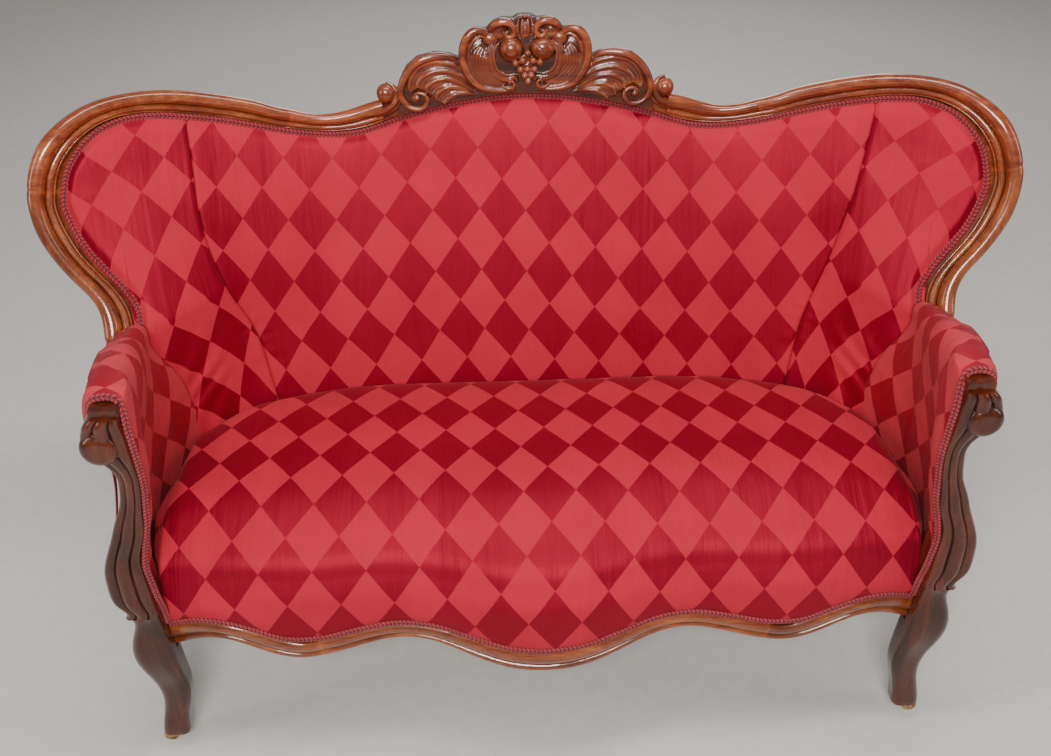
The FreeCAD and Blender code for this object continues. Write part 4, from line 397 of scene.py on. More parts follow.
def damask(name, pull, gleam, satin_tone, matte_tone):
    """Satin diamonds on a matte ground, with weave, pulls and soft creases."""
    look = Look(name)
    across, up, _ = look.apart(look.cloth(1, 1, 1))
    ragged = (look.noise(look.cloth(70, 95, 1), 1, 1, 0.5) - 0.5) * 0.035
    p = (across + up + ragged).maths("FLOOR")
    q = (across - up + ragged).maths("FLOOR")
    satin = ((p + q) * 0.5).maths("FRACT").maths("GREATER_THAN", 0.25)
    # threads: fine ribs, closer together up the cloth than across it
    warp = (across * (2 * math.pi * 105)).maths("SINE")
    weft = (up * (2 * math.pi * 120)).maths("SINE")
    slubs = look.noise(look.cloth(60, 2.2, 1), 1, 4, 0.6)
    satin_colour = look.mix(slubs, toned(satin_tone, 0.8), toned(satin_tone, 1.12))
    matte_colour = look.mix(slubs, toned(matte_tone, 0.88), toned(matte_tone, 1.08))
    mottle = look.noise(look.place(), 7, 4, 0.55)
    colour = look.shaded(look.mix(satin, matte_colour, satin_colour), mottle,
                         (0.34, (0.88, 0.84, 0.84)), (0.64, 1))
    creases = look.noise(look.cloth(2.6, 0.35, 1), 1, 3, 0.55, 0.3)
    normal = look.bump(creases, pull, 0.006)
    normal = look.bump(warp + weft * 0.6, 0.16, 0.00025, Normal=normal)
    normal = look.bump(slubs, 0.25, 0.0005, Normal=normal)
    return look.done(Base_Color=colour, Metallic=satin * gleam,
                     Roughness=0.84 - satin * 0.3 + slubs * 0.08, Sheen_Weight=0.05,
                     Sheen_Roughness=0.45, Sheen_Tint=(1, 0.62, 0.64), Specular_IOR_Level=0.3,
                     Normal=normal)


def plain_cloth(name, light, dark, rib=900):
    look = Look(name)
    x, _, z = look.apart(look.place())
    warp = (x * (rib * 2 * math.pi)).maths("SINE")
    weft = (z * (rib * 2 * math.pi)).maths("SINE")
    mottle = look.noise(look.place(), 6, 5, 0.6)
    flecks = look.noise(look.place((300, 300, 40)), 1, 3, 0.6)
    normal = look.bump(mottle, 0.3, 0.004, Normal=look.bump(warp * weft, 0.25, 0.0003))
    colour = look.ramp(mottle * 0.6 + flecks * 0.4, (0.34, dark), (0.62, light))
    return look.done(Base_Color=colour, Roughness=0.85, Sheen_Weight=0.15, Sheen_Roughness=0.5,
                     Normal=normal)


def braid_material():
    """Crimson braid: a plait of fine cords, with painted shade where the cords dip."""
    look = Look("crimson_braid")
    run, side, _ = look.apart(look.cloth(1, 1, 1))
    off = side.maths("ABSOLUTE")
    cord = (run * math.pi + off * 1.7).maths("SINE").maths("ABSOLUTE")
    twist = (run * 44 + off * -16).maths("SINE")
    twist = twist * 0.16 + cord * off.maths("MULTIPLY", 5, clamp=True)
    # painted shade: the colour darkens where the cords dip
    colour = look.ramp(twist, (0.1, (0.105, 0.003, 0.008)), (0.55, (0.3, 0.009, 0.02)),
                       (0.98, (0.5, 0.03, 0.046)))
    age = look.noise(look.place(), 24, 3, 0.6)
    return look.done(Base_Color=look.shaded(colour, age, (0.3, (0.75, 0.7, 0.7)), (0.65, 1)),
                     Roughness=0.62, Sheen_Weight=0.1, Normal=look.bump(twist, 0.9, 0.0012))


brass = metal("aged_brass", (0.62, 0.43, 0.17), (0.22, 0.13, 0.05), 0.34)
steel = metal("plain_steel", (0.55, 0.55, 0.56), (0.28, 0.27, 0.27), 0.36)
damask_cloth = damask("crimson_damask", 0.6, 0.72, (0.355, 0.0055, 0.026),
                      (0.49, 0.0135, 0.035))
# the arms' damask is a lighter, lower-contrast copy of the seat's and back's: painted sheen for
# the satin catching the light over the rolls
arm_damask_painted_sheen = damask("crimson_damask_arm_painted_sheen", 0.9, 0.55, (0.42, 0.01, 0.028), (0.52, 0.03, 0.046))
outside_cloth = plain_cloth("crimson_outside_cloth", (0.42, 0.028, 0.04), (0.28, 0.015, 0.024))
cambric = plain_cloth("black_cambric", (0.03, 0.028, 0.027), (0.014, 0.013, 0.013), 600)
jute = plain_cloth("jute_web", (0.5, 0.36, 0.2), (0.32, 0.22, 0.12), 500)
braid_cloth = braid_material()

for name, piece in nodes.items():
    if name.startswith(("caster_plate", "caster_horn", "caster_wheel")):
        dress(piece, brass)
    elif name.startswith(("caster_axle", "caster_screws", "seat_springs")):
        dress(piece, steel)
    elif name.endswith("webbing"):
        dress(piece, jute)
    piece.data.shade_smooth()
    piece.data.set_sharp_from_angle(angle=math.radians(38))

# Inner edge of the show wood, over the crest and round the shoulder
CREST_LINE = [(a * HALF, b * TALL) for a, b in [
    (0, 0.8726), (0.0373, 0.8716), (0.0809, 0.8692), (0.1245, 0.8644), (0.168, 0.8591),
    (0.2116, 0.8514), (0.2551, 0.8436), (0.2962, 0.8344)]]
SHOULDER = [(a * HALF, b * TALL) for a, b in [
    (0.3111, 0.8301), (0.3609, 0.8195), (0.4057, 0.8171), (0.453, 0.8205), (0.5128, 0.8301),
    (0.5787, 0.8465), (0.6472, 0.8649), (0.7156, 0.8818), (0.7716, 0.8938), (0.8214, 0.8986),
    (0.865, 0.8938), (0.8986, 0.8803), (0.9272, 0.8581), (0.9434, 0.8359), (0.9515, 0.8108),
    (0.9533, 0.7925), (0.9484, 0.7751), (0.9353, 0.749), (0.9147, 0.7201), (0.8861, 0.6911),
    (0.855, 0.6602), (0.8339, 0.6255), (0.8351, 0.583)]]
inner_line = spline(CREST_LINE + SHOULDER, 900)
tip = int(np.argmax(inner_line[:, 0]))
upper, lower = inner_line[:tip + 1], inner_line[tip:]


def top_z(x):
    return np.interp(np.abs(x), upper[:, 0], upper[:, 1])


def low_z(x):
    return np.interp(np.abs(x), lower[::-1, 0], lower[::-1, 1])


def edge_distance(x, z):
    """Distance to the show wood's inner edge, seen on the face."""
    x = np.abs(x)
    best = np.full(x.shape, 1e9)
    for a, b in inner_line[::3]:
        best = np.minimum(best, (x - a) ** 2 + (z - b) ** 2)
    return np.sqrt(best)


# Creases of the inside back: place, middle height, reach and depth; then the seams' lines
PULLS = [(-0.068, 0.7, 0.12, 1), (-0.047, 0.71, 0.11, 1.3), (-0.022, 0.68, 0.09, 0.8),
         (0.158, 0.7, 0.11, 1.2), (0.208, 0.71, 0.09, 0.9), (0.221, 0.67, 0.11, 1.3),
         (-0.165, 0.62, 0.1, 0.7), (0.3, 0.6, 0.1, 0.6), (-0.31, 0.66, 0.1, 0.7)]
SEAM_LEFT = [(0.345, 0.47), (0.424, 0.482), (0.509, 0.498), (0.602, 0.533), (0.714, 0.561),
             (0.852, 0.571), (0.93, 0.576)]
SEAM_RIGHT = [(0.345, 0.478), (0.425, 0.489), (0.49, 0.498), (0.602, 0.527), (0.702, 0.552),
              (0.819, 0.578), (0.93, 0.598)]


def seam(side, z):
    """Distance from the middle of the seam between the centre and a wing panel."""
    return lookup(SEAM_RIGHT if side > 0 else SEAM_LEFT, z)


def proud(x, z):
    """How far the inside back's pad stands proud of the face."""
    d = edge_distance(x, z)
    level = 0.035 * (1 - np.exp(-d / 0.115))
    out = level * smooth((d - 0.003) / 0.022) - 0.0085 * (1 - smooth((d - 0.004) / 0.017))
    line_x = np.where(x > 0, seam(1, z), seam(-1, z))
    crease = np.abs(x) - line_x
    out = out - 0.004 * np.exp(-(crease / 0.0032) ** 2)
    # small tucks where the seam pulls the cloth, stronger low down
    tucks = np.sin(z * 170 + 26 * crease + 4 * np.sin(z * 37)) * (0.6 + 0.4 * np.sin(z * 61))
    tucks = tucks * np.exp(-((np.abs(crease) - 0.014) / 0.014) ** 2)
    out = out + (0.0001 + 0.0008 * smooth((0.6 - z) / 0.14)) * tucks
    for place, middle, reach, amount in PULLS:
        line = np.exp(-((x - place) / 0.0028) ** 2) - 0.45 * np.exp(-((x - place) / 0.0075) ** 2)
        out = out - 0.0009 * amount * line * np.exp(-((z - middle) / reach) ** 4)
    ripple = np.sin(x * 61 + 2 * np.sin(z * 7)) * np.sin(x * 23 + 1.1)
    out = out + 0.00045 * ripple * smooth((d - 0.02) / 0.05)
    # gathers where the back's cloth is pulled round behind the arm
    gather = smooth((np.abs(x) - 0.53) / 0.05) * smooth((0.6 - z) / 0.1)
    out = out + 0.0017 * gather * np.sin(np.abs(x) * 130 + z * 105 + 1.5 * np.sin(z * 40))
    return out


PAD_LOW = 0.345
# behind the arm the panel's low edge climbs to the foot of the stile: x and height
REACH = ([0, 0.598, 0.628, 0.6708], [PAD_LOW, PAD_LOW, 0.5, 0.6035])
# half the gap at a seam, and where a wing panel's lines start
GAP = 0.0004
WING_FROM = 0.5104
# Dark columns of the centre panel: their place sideways and their number
COLUMNS = [(-0.62, -7), (-0.535, -6), (-0.463, -5), (-0.384, -4), (-0.299, -3), (-0.213, -2),
           (-0.127, -1), (-0.045, 0), (0.038, 1), (0.122, 2), (0.207, 3), (0.291, 4), (0.374, 5),
           (0.456, 6), (0.532, 7), (0.612, 8)]
# Rows: height at the middle and number; and how a row rises and falls across the back
ROWS = [(0.31, -5), (0.428, -4), (0.54, -3), (0.655, -2), (0.763, -1), (0.867, 0),
        (0.975, 1)]
SWAY = [(-0.6, 0.042), (-0.535, 0.026), (-0.465, 0.01), (-0.384, -0.006), (-0.299, -0.01),
        (-0.213, -0.003), (-0.127, 0.003), (-0.045, 0), (0.122, -0.019), (0.206, -0.025),
        (0.291, -0.032), (0.374, -0.03), (0.456, -0.014), (0.53, 0.008), (0.6, 0.03)]
# Crossings of the wing panels: sideways, height, column and row
WING_LEFT = [(-0.646, 0.896, 0, 0), (-0.68, 0.855, -0.5, -0.5), (-0.61, 0.855, 0.5, -0.5),
             (-0.648, 0.812, 0, -1), (-0.607, 0.757, 0.5, -1.5), (-0.678, 0.76, -0.5, -1.5),
             (-0.635, 0.711, 0, -2), (-0.592, 0.656, 0.5, -2.5), (-0.613, 0.612, 0, -3),
             (-0.566, 0.537, 0.5, -3.5), (-0.582, 0.48, 0, -4), (-0.524, 0.468, 1, -4),
             (-0.542, 0.42, 0.5, -4.5), (-0.549, 0.586, 1, -3), (-0.571, 0.811, 1, -1)]
WING_RIGHT = [(0.661, 0.901, 0, 0), (0.629, 0.858, -0.5, -0.5), (0.7, 0.859, 0.5, -0.5),
              (0.667, 0.807, 0, -1), (0.69, 0.763, 0.5, -1.5), (0.645, 0.713, 0, -2),
              (0.6, 0.654, -0.5, -2.5), (0.67, 0.668, 0.5, -2.5), (0.561, 0.583, -1, -3),
              (0.583, 0.536, -0.5, -3.5), (0.553, 0.468, -1, -4), (0.599, 0.488, 0, -4),
              (0.575, 0.42, -0.5, -4.5), (0.618, 0.443, 0.5, -4.5)]


def bends(x, z):
    x, z = np.abs(x) - 0.62, z - 0.65
    return np.stack([np.ones_like(x), x, z, x * z, z * z, x * x], -1)


def back_uv(x, z, kind):
    if kind == "centre":
        drift = 0.009 * smooth((0.52 - z) / 0.1)
        u = lookup(COLUMNS, x - drift)
        v = lookup(ROWS, z - lookup(SWAY, x) * (1 - 0.25 * smooth((0.55 - z) / 0.1)))
        return np.stack([u, v], -1)
    spots = np.array(WING_LEFT if kind == "left" else WING_RIGHT)
    basis = bends(spots[:, 0], spots[:, 1])
    solve = np.linalg.solve(basis.T @ basis + 4e-6 * np.eye(6), basis.T @ spots[:, 2:])
    return bends(x, z) @ solve


def back_panel(name, kind):
    if kind == "centre":
        s = np.linspace(-1, 1, 361)[:, None]

        def across(z):
            return s * (np.where(s > 0, seam(1, z), seam(-1, z)) - GAP)
    else:
        side = 1 if kind == "right" else -1
        run = np.concatenate([np.linspace(WING_FROM, 0.66, 62, endpoint=False),
                              np.linspace(0.66, 0.69, 22, endpoint=False),
                              0.7655 - 0.0755 * (1 - np.linspace(0, 1, 44)) ** 1.7])
        run = run[::side, None]
        s = (run - WING_FROM) / 0.2551

        def across(z):
            return side * (run + (seam(side, z) + GAP - WING_FROM) * (1 - s) ** 2)

    low = np.full((s.shape[0], 1), PAD_LOW)
    high = np.full((s.shape[0], 1), 0.88)
    for _ in range(4):
        high = top_z(across(high)) - 0.0012
        x = np.abs(across(low))
        low = np.where(x <= REACH[0][-1], np.interp(x, *REACH), low_z(x) + 0.0012)
    low = np.minimum(low, high - 0.0008)
    z = low + (high - low) * np.linspace(0, 1, 130)
    x = across(z)
    front = behind(x, z, -proud(x, z))
    piece = slab(name, front, behind(x, z, 0.0185), back_uv(x, z, kind))
    dress(piece, damask_cloth)
    return piece


back_centre = back_panel("back_pad_centre", "centre")
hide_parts("inside_back_cover", "back_stuffing", "back_hessian")
wing_right = back_panel("back_pad_wing_right", "right")
wing_left = back_panel("back_pad_wing_left", "left")
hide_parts("inside_wing_cover_right")
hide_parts("inside_wing_cover_left")

# Seat: the front rail's face line and the middle and half height of its carved band
RAIL = 0.612
DIAMOND = 0.1148  # height of a diamond of the damask
FRONT = [(a * RAIL, b * 0.066, 0.218 + c * 0.0425, d * 0.0415) for a, b, c, d in [
    (0, -1, 0, 1), (0.098, -0.91, 0.07, 1.02), (0.196, -0.67, 0.42, 0.94),
    (0.294, -0.394, 0.84, 0.76), (0.392, -0.25, 0.9, 0.7), (0.49, -0.273, 0.56, 0.8),
    (0.6005, -0.333, 0.14, 0.89), (0.703, -0.303, 0.14, 0.94), (0.768, -0.25, 0.52, 0.96),
    (0.817, -0.197, 0.85, 0.86), (0.866, -0.13, 1, 0.83), (0.923, -0.05, 0.89, 0.92),
    (1, 0.076, 0.33, 1.1)]]
LEG = 0.637
CROWN = [(a * LEG, b) for a, b in [
    (0, 1), (0.188, 0.99), (0.376, 0.97), (0.577, 0.93), (0.738, 0.9), (0.832, 0.83),
    (0.895, 0.74), (0.942, 0.66), (0.976, 0.5), (0.998, 0.35), (1.008, 0.22)]]
SIDES = [(0.61, 0.03, 0.3), (0.622, 0.05, 0.262), (0.63, 0.07, 0.24),
         (0.637, 0.105, 0.214), (0.6405, 0.135, 0.188)]
PROFILE = [(0.004, 0), (0.032, 0.33), (0.09, 0.557), (0.28, 1), (0.5, 0.95), (0.72, 0.77),
           (0.9, 0.52), (0.975, 0.24)]


def rail_front(x):
    """The front rail's face and the top of its wood."""
    along, middle, half_high = (float(lookup(FRONT, abs(x), column)) for column in (1, 2, 3))
    return along, middle + half_high


def seat_rear(x):
    levels = np.array([0.36, 0.42, 0.48])
    return float(np.min(behind(abs(x), levels, -0.03)[:, 1])) - 0.004


def seat_column(x):
    """One line over the seat, from the front rail's top to behind the back."""
    count = 150
    a = abs(x)
    face_line, wood_top = rail_front(min(a, 0.6085))
    crown = 0.079 * float(lookup(CROWN, a))
    blend = float(smooth((a - 0.6085) / 0.012))
    front = face_line + 0.02
    rear = seat_rear(a)
    if a > 0.6:
        out, side_front, side_rear = zip(*SIDES)
        rear = float(np.interp(a, (0.6, *out), (rear, *side_rear)))
        front = front * (1 - blend) + float(np.interp(a, out, side_front)) * blend
    depth = rear - front
    low = wood_top + 0.0035
    lip = front - 0.0185
    edge = 0.378 - 0.012 * blend
    points = [(lip + 0.0022, low), (lip - 0.001, low + 0.012), (lip - 0.0005, low + 0.028),
              (lip + 0.006, 0.345), (front - 0.004, 0.3665)]
    if blend > 0.5:
        points = [(front, 0.318), (front - 0.001, 0.326), (front - 0.0015, 0.336),
                  (front - 0.0015, 0.346), (front - 0.001, 0.354)]
    points += [(front + share * depth, edge + lift * crown) for share, lift in PROFILE]
    points += [(rear + 0.001, 0.368), (rear + 0.003, 0.332)]
    line = spline(points, count)
    return np.stack([np.full(count, x), line[:, 0], line[:, 1]], -1)


def seat_lattice(column, x):
    s = run_length(column)
    ys = column[:, 1]
    start = int(np.argmax(column[:, 2] > 0.375))
    mark = 0.1
    if ys[start:].max() < mark:
        at = s[start]
    else:
        at = float(np.interp(mark, ys[start:-12], s[start:-12]))
    v = (s - at) / DIAMOND + 1.45
    u = np.full(len(column), (x - 0.0134) / 0.0847)
    return np.stack([u, v], -1)


half = np.concatenate([np.linspace(0, 0.6, 121), np.linspace(0.6035, 0.6405, 15)])
seat_x = np.concatenate([-half[:0:-1], half])
seat_front, seat_back, seat_uv = [], [], []
for x in seat_x:
    column = seat_column(float(x))
    y = column[:, 1]
    wave = 0.0006 * np.sin(x * 70 + 27 * y) * np.sin(y * 21 + x * 5)
    for place, amount in ((-0.362, 1), (-0.165, 1.2), (0.018, 1), (0.252, 0.7)):
        crease = np.exp(-((x - place) / 0.0035) ** 2) * np.exp(-((y - 0.03) / 0.09) ** 2)
        wave = wave - 0.0011 * amount * crease
    column[:, 2] += np.where(column[:, 2] > 0.37, wave, 0)
    seat_front.append(column)
    seat_uv.append(seat_lattice(column, x))
    floor_line = column.copy()
    floor_line[:, 2] = np.minimum(column[:, 2] - 0.004, 0.3185)
    floor_line[:, 1] = np.clip(y, y[0] + 0.004, y[-1] - 0.002)
    floor_line[:6, 2] = column[:6, 2]
    seat_back.append(floor_line)
seat_pad = slab("seat_pad", np.array(seat_front), np.array(seat_back), np.array(seat_uv))
dress(seat_pad, damask_cloth)
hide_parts("seat_cover", "seat_stuffing", "seat_hessian")

# Arms: rolled pads lofted through their sections, each from the inside round to the outside
ARMS = [
    [(-0.115, 0), (-0.22, 0.245), (-0.42, 0.555), (-0.6, 0.864), (-0.55, 0.964),
     (-0.32, 0.995), (0.04, 0.979), (0.23, 0.912), (0.24, 0.829)],
    [(0.01, 0), (-0.05, 0.245), (-0.295, 0.555), (-0.6, 0.864), (-0.54, 0.969),
     (-0.256, 1), (0.09, 0.976), (0.244, 0.912), (0.244, 0.829)],
    [(0, 0), (-0.064, 0.245), (-0.282, 0.555), (-0.54, 0.829), (-0.46, 0.926),
     (-0.19, 0.957), (0.154, 0.931), (0.31, 0.869), (0.31, 0.788)],
    [(-0.19, 0), (-0.244, 0.245), (-0.32, 0.53), (-0.37, 0.757), (-0.28, 0.845),
     (-0.026, 0.874), (0.27, 0.85), (0.4, 0.798), (0.4, 0.726)],
    [(-0.73, 0), (-0.78, 0.245), (-0.6, 0.483), (-0.28, 0.674), (-0.18, 0.75),
     (0.026, 0.781), (0.28, 0.764), (0.385, 0.726), (0.385, 0.674)],
]
# Their place: outward, share of the arm's length, and turn
STATIONS = [(0, 0, 0), (0.103, 0.24, 0), (0.192, 0.51, 0.15), (0.256, 0.765, 0.5)]
ARM_WIDE = 0.078
ARM_RISE = 0.42
ARM_FLOOR = 0.3168
ARM_START = 0.03
ARM_END_X = 0.662
AROUND = 96
ALONG = 84


def wing_front(x, z):
    return float(behind(x, z, -0.03)[1])


ARM_LONG = wing_front(ARM_END_X, 0.42) - ARM_START


def arm_section(k):
    points = []
    for side, lift in ARMS[k]:
        z = ARM_FLOOR + lift * ARM_RISE
        if k < 4:
            middle, along, turn = STATIONS[k]
            x = LEG + (middle + side) * ARM_WIDE
            y = ARM_START + along * ARM_LONG - turn * side * ARM_WIDE
        else:
            x = ARM_END_X + side * ARM_WIDE
            y = wing_front(x, z) + 0.004
        points.append((x, y, z))
    return spline(points, AROUND)


# Inner side of the post: height and x
POST_INNER = [(0.34, 0.6105), (0.37, 0.6125), (0.4, 0.6143), (0.44, 0.6169), (0.48, 0.6097),
              (0.52, 0.5993), (0.56, 0.5941), (0.6, 0.5882), (0.64, 0.5861), (0.68, 0.5862),
              (0.71, 0.5876), (0.76, 0.588)]
# Edge of the arm's cover on the post: up its inner side, over its top, down behind the knob
ARM_EDGE = [(0.608, -0.002, 0.297), (0.6085, -0.006, 0.33), (0.6095, -0.013, 0.365),
            (0.6112, -0.016, 0.4), (0.6135, -0.015, 0.44), (0.6065, -0.0125, 0.48),
            (0.5962, -0.0115, 0.52), (0.5905, -0.011, 0.56), (0.585, -0.0125, 0.6),
            (0.583, -0.016, 0.64), (0.583, -0.0185, 0.68), (0.5843, -0.0175, 0.71),
            (0.586, -0.012, 0.735), (0.5915, -0.005, 0.753), (0.603, -0.0025, 0.758),
            (0.617, -0.0025, 0.7575), (0.6275, -0.0035, 0.754), (0.635, -0.0005, 0.742),
            (0.641, 0.01, 0.718), (0.65, 0.023, 0.69)]


def dressed_sections():
    """The arm's edge on the post and its sections behind it, all clear of the post."""
    out = [spline(ARM_EDGE, AROUND)]
    for k, lift in enumerate((1.2, 1.09, 1.03, 1, 1)):
        section = arm_section(k)
        section[:, 2] += (lift - 1) * 0.11 * smooth((section[:, 2] - 0.675) / 0.05)
        if k == 0:
            limit = lookup(POST_INNER, section[:, 2]) - 0.0035
            inner = section[:, 0] < LEG - 0.018
            section[inner, 0] = np.minimum(section[inner, 0], limit[inner])
        out.append(section)
    return np.array(out)


def arm_pad(side, label):
    sections = dressed_sections()
    grid = np.stack([spline(sections[:, j], ALONG) for j in range(AROUND)], 1)
    share, across = np.linspace(0, 1, ALONG)[:, None], np.linspace(0, 1, AROUND)
    # soft folds over the roll
    fold = np.sin(share * 22 + 1.2 + 2.5 * across) * np.exp(-((across - 0.62) / 0.17) ** 2)
    grid[:, :, 2] += 0.0008 * fold * smooth((share - 0.12) / 0.1)
    # long soft drags from the back corner down the arm's inner side
    drag = np.sin(across * 46 - share * 15) * np.exp(-((across - 0.33) / 0.17) ** 2)
    grid[:, :, 0] += 0.0008 * drag * smooth((share - 0.15) / 0.3)
    # the pad's hidden inner face, thin beside the post
    inside = grid.copy()
    x = grid[:, :, 0]
    middle = x.mean(1)[:, None]
    inside[:, :, 0] = np.maximum(x + 0.014, np.minimum(middle + 0.012, x + 0.03))
    inside[:, :, 2] -= 0.012 * np.sin(np.pi * across)
    inside[:, -14:, 0] = grid[:, -14:, 0] - 0.01
    thin = (1 - smooth((share - 0.1) / 0.1))[:, :, None]
    inside = inside * (1 - thin) + (grid + np.array([0.003, 0.0015, -0.003])) * thin
    v = np.array([run_length(row) for row in grid]) / DIAMOND + 0.3
    u = side * (run_length(grid[:, 50])[:, None] + 0.012) / 0.0838 + 0 * v
    flip = np.array([side, 1, 1])
    piece = slab("arm_pad_" + label, grid * flip, inside * flip, np.stack([u, v], -1))
    dress(piece, arm_damask_painted_sheen)
    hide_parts("inside_arm_cover_" + label, "arm_stuffing_" + label)


arm_pad(1, "right")
arm_pad(-1, "left")

# Stretched sheets: outside back, outside arms and the dust cover. Their edges and the rear
# corner they meet at, as rows of z, x and y
CORNER = [(0.3, 0.68, 0.073), (0.4, 0.686, 0.072), (0.48, 0.693, 0.072),
          (0.56, 0.702, 0.073), (0.62, 0.704, 0.074)]
ARM_REAR = [(0.32, 0.691, 0.052), (0.4, 0.694, 0.052), (0.48, 0.699, 0.052),
            (0.56, 0.7065, 0.05)]
BACK_EDGE = [(0.32, 0.681, 0.075), (0.4, 0.681, 0.078), (0.48, 0.679, 0.081),
             (0.56, 0.677, 0.084), (0.62, 0.678, 0.098), (0.66, 0.703, 0.104),
             (0.7, 0.733, 0.117), (0.74, 0.753, 0.134), (0.78, 0.752, 0.161),
             (0.82, 0.752, 0.18), (0.86, 0.754, 0.192), (0.9, 0.738, 0.211),
             (0.93, 0.692, 0.245)]


def side_line(table, z):
    """x and y of a nearly upright line given as rows of z, x and y."""
    zs, xs, ys = zip(*table)
    return np.array([np.interp(z, zs, xs), np.interp(z, zs, ys)])


def divide(mesh, longest, wanted):
    """Cuts the long edges that lie where they are wanted."""
    bm = bmesh.new()
    bm.from_mesh(mesh)
    for _ in range(4):
        edges = [e for e in bm.edges
                 if e.calc_length() > longest and wanted((e.verts[0].co + e.verts[1].co) / 2)]
        bmesh.ops.subdivide_edges(bm, edges=edges, cuts=1)
        bmesh.ops.triangulate(bm, faces=[f for f in bm.faces if len(f.verts) > 4])
    bm.to_mesh(mesh)
    bm.free()


# how far behind the face the outside back's edge lies
OUTSIDE_DEPTH = 0.0462


def draw_back(mesh):
    """The outside back reaches the braid at its shoulders and meets the arms at its corners."""
    divide(mesh, 0.02, lambda c: abs(c.x) > 0.62)
    base = behind(*outer_edge.T, OUTSIDE_DEPTH) - np.array([0, SHIFT, 0])
    base = base[(base[:, 0] > 0.6) & (base[:, 2] < 0.95)]
    base = base[np.argsort(base[:, 2])]
    low = [row for row in CORNER if row[0] < 0.57] + [(0.62, 0.678, 0.098)]
    back_reach = low + [(z, x, y) for x, y, z in base.tolist() if z > 0.63]
    for v in mesh.vertices:
        z, x = v.co.z, abs(v.co.x)
        edge, reach = side_line(BACK_EDGE, z), side_line(back_reach, z)
        share = float(smooth((x - edge[0] + 0.035) / 0.035) * smooth((0.945 - z) / 0.02))
        shift = (reach - edge) * share
        v.co.x += shift[0] * (1 if v.co.x > 0 else -1)
        v.co.y += shift[1]


def draw_arm(mesh):
    """The outside arm closes the rear corner and runs up behind the roll's lower edge."""
    divide(mesh, 0.02, lambda c: c.y > 0.03 or c.z > 0.56)
    top = {}
    for v in mesh.vertices:
        k = round(v.co.y / 0.012)
        top[k] = max(top.get(k, 0), v.co.z)
    for v in mesh.vertices:
        k = round(v.co.y / 0.012)
        crown = max(top.get(k - 1, 0), top[k], top.get(k + 1, 0))
        if v.co.z > crown - 0.013 and v.co.y < 0.045:
            v.co.z += 0.025 * float(smooth((v.co.y + 0.285) / 0.03))
        if v.co.y > 0.03:
            shift = side_line(CORNER, v.co.z) - side_line(ARM_REAR, v.co.z)
            shift *= float(smooth((v.co.y - 0.03) / 0.018))
            v.co.x += shift[0] * (1 if v.co.x > 0 else -1)
            v.co.y += shift[1]


def sheet_from(name, source, mat, drawn=None):
    """A sheet of its node's own form, drawn to its neighbours' edges."""
    mesh = nodes[source].data.copy()
    mesh.name = name
    if drawn:
        drawn(mesh)
    piece = link(name, mesh)
    dress(piece, mat)
    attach(piece, "frame")
    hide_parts(source)


for label in ("right", "left"):
    sheet_from("outside_arm_" + label, "outside_arm_cover_" + label, outside_cloth,
               draw_arm)
sheet_from("bottom_cambric", "dust_cover", cambric)

# Braid: a plaited ribbon along a line, with two rows of loops
BEAT = 0.0068


def braid(name, line, out, node_names, width, thick):
    count = max(20, int(run_length(line)[-1] / 0.0012))
    pick = np.linspace(0, len(line) - 1, count)
    index = np.arange(len(line))
    base = np.stack([np.interp(pick, index, column) for column in line.T], -1)
    normal = unit(np.stack([np.interp(pick, index, column) for column in out.T], -1))
    along = tangent(base)
    side = unit(np.cross(along, normal))
    normal = np.cross(side, along)
    s = run_length(base)
    q = np.linspace(-1, 1, 15)
    off = np.abs(q)
    dome = thick * np.sqrt(np.clip(1 - off ** 3.2, 0, 1))
    groove = np.where(off < 0.1, 0.45, 1)
    verts = []
    for i in range(count):
        turn = 2 * math.pi * s[i] / BEAT
        loops = 0.5 + 0.5 * np.abs(np.sin(turn / 2 + off * 1.7))
        scallop = 1 + 0.06 * np.sin(turn) * (off > 0.8)
        top = (base[i] + side[i] * (q * width / 2 * scallop)[:, None]
               + normal[i] * (dome * loops * groove)[:, None])
        foot = side[i] * width * 0.46
        verts.append(np.concatenate([top, [base[i] + foot, base[i] - foot]]))
    columns = len(q) + 2
    run = np.repeat(s[:, None], columns, 1) / BEAT
    wide = np.repeat(np.concatenate([q, [1.2, -1.2]])[None, :], count, 0)
    piece = make(name, np.concatenate(verts), tube_faces(count, columns),
                 np.stack([run, wide], -1).reshape(-1, 2))
    dress(piece, braid_cloth)
    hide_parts(*node_names)
    return piece


def offset_flat(line, distance):
    along = tangent(line)
    return line + np.stack([along[:, 1], -along[:, 0]], -1) * distance


def frame_braid(name, line, depth, outward, node_names, width, thick):
    """Braid along both halves of a line of x and z, at a depth behind the face."""
    x, z = np.concatenate([line[:0:-1] * np.array([-1, 1]), line]).T
    dx, dz = slopes(x, z)
    normal = unit(np.stack([dx, -1 + 0 * dx, dz], -1)) * outward
    braid(name, behind(x, z, depth), normal, node_names, width, thick)


outer_edge = offset_flat(inner_line, -0.0098)[:-24]
frame_braid("braid_back", offset_flat(inner_line, 0.0058)[:-8], 0.0072, 1, ["gimp_back"],
            0.0115, 0.0032)
frame_braid("braid_outside_back", outer_edge, 0.0482, -1, ["gimp_outside_back"],
            0.0105, 0.0026)
sheet_from("outside_back", "outside_back_cover", outside_cloth,
           draw_back)

# Braid along the seat's front edge, just above the rail
seat_line, seat_out = [], []
for x in np.linspace(-0.609, 0.609, 400):
    face_line, wood_top = rail_front(x)
    slope = (rail_front(x + 0.002)[0] - rail_front(x - 0.002)[0]) / 0.004
    seat_line.append((x, face_line + 0.0012, wood_top + 0.0064))
    seat_out.append((slope, -1, 0.05))
braid("braid_seat_front", np.array(seat_line), np.array(seat_out), ["gimp_seat_front"],
      0.011, 0.0034)

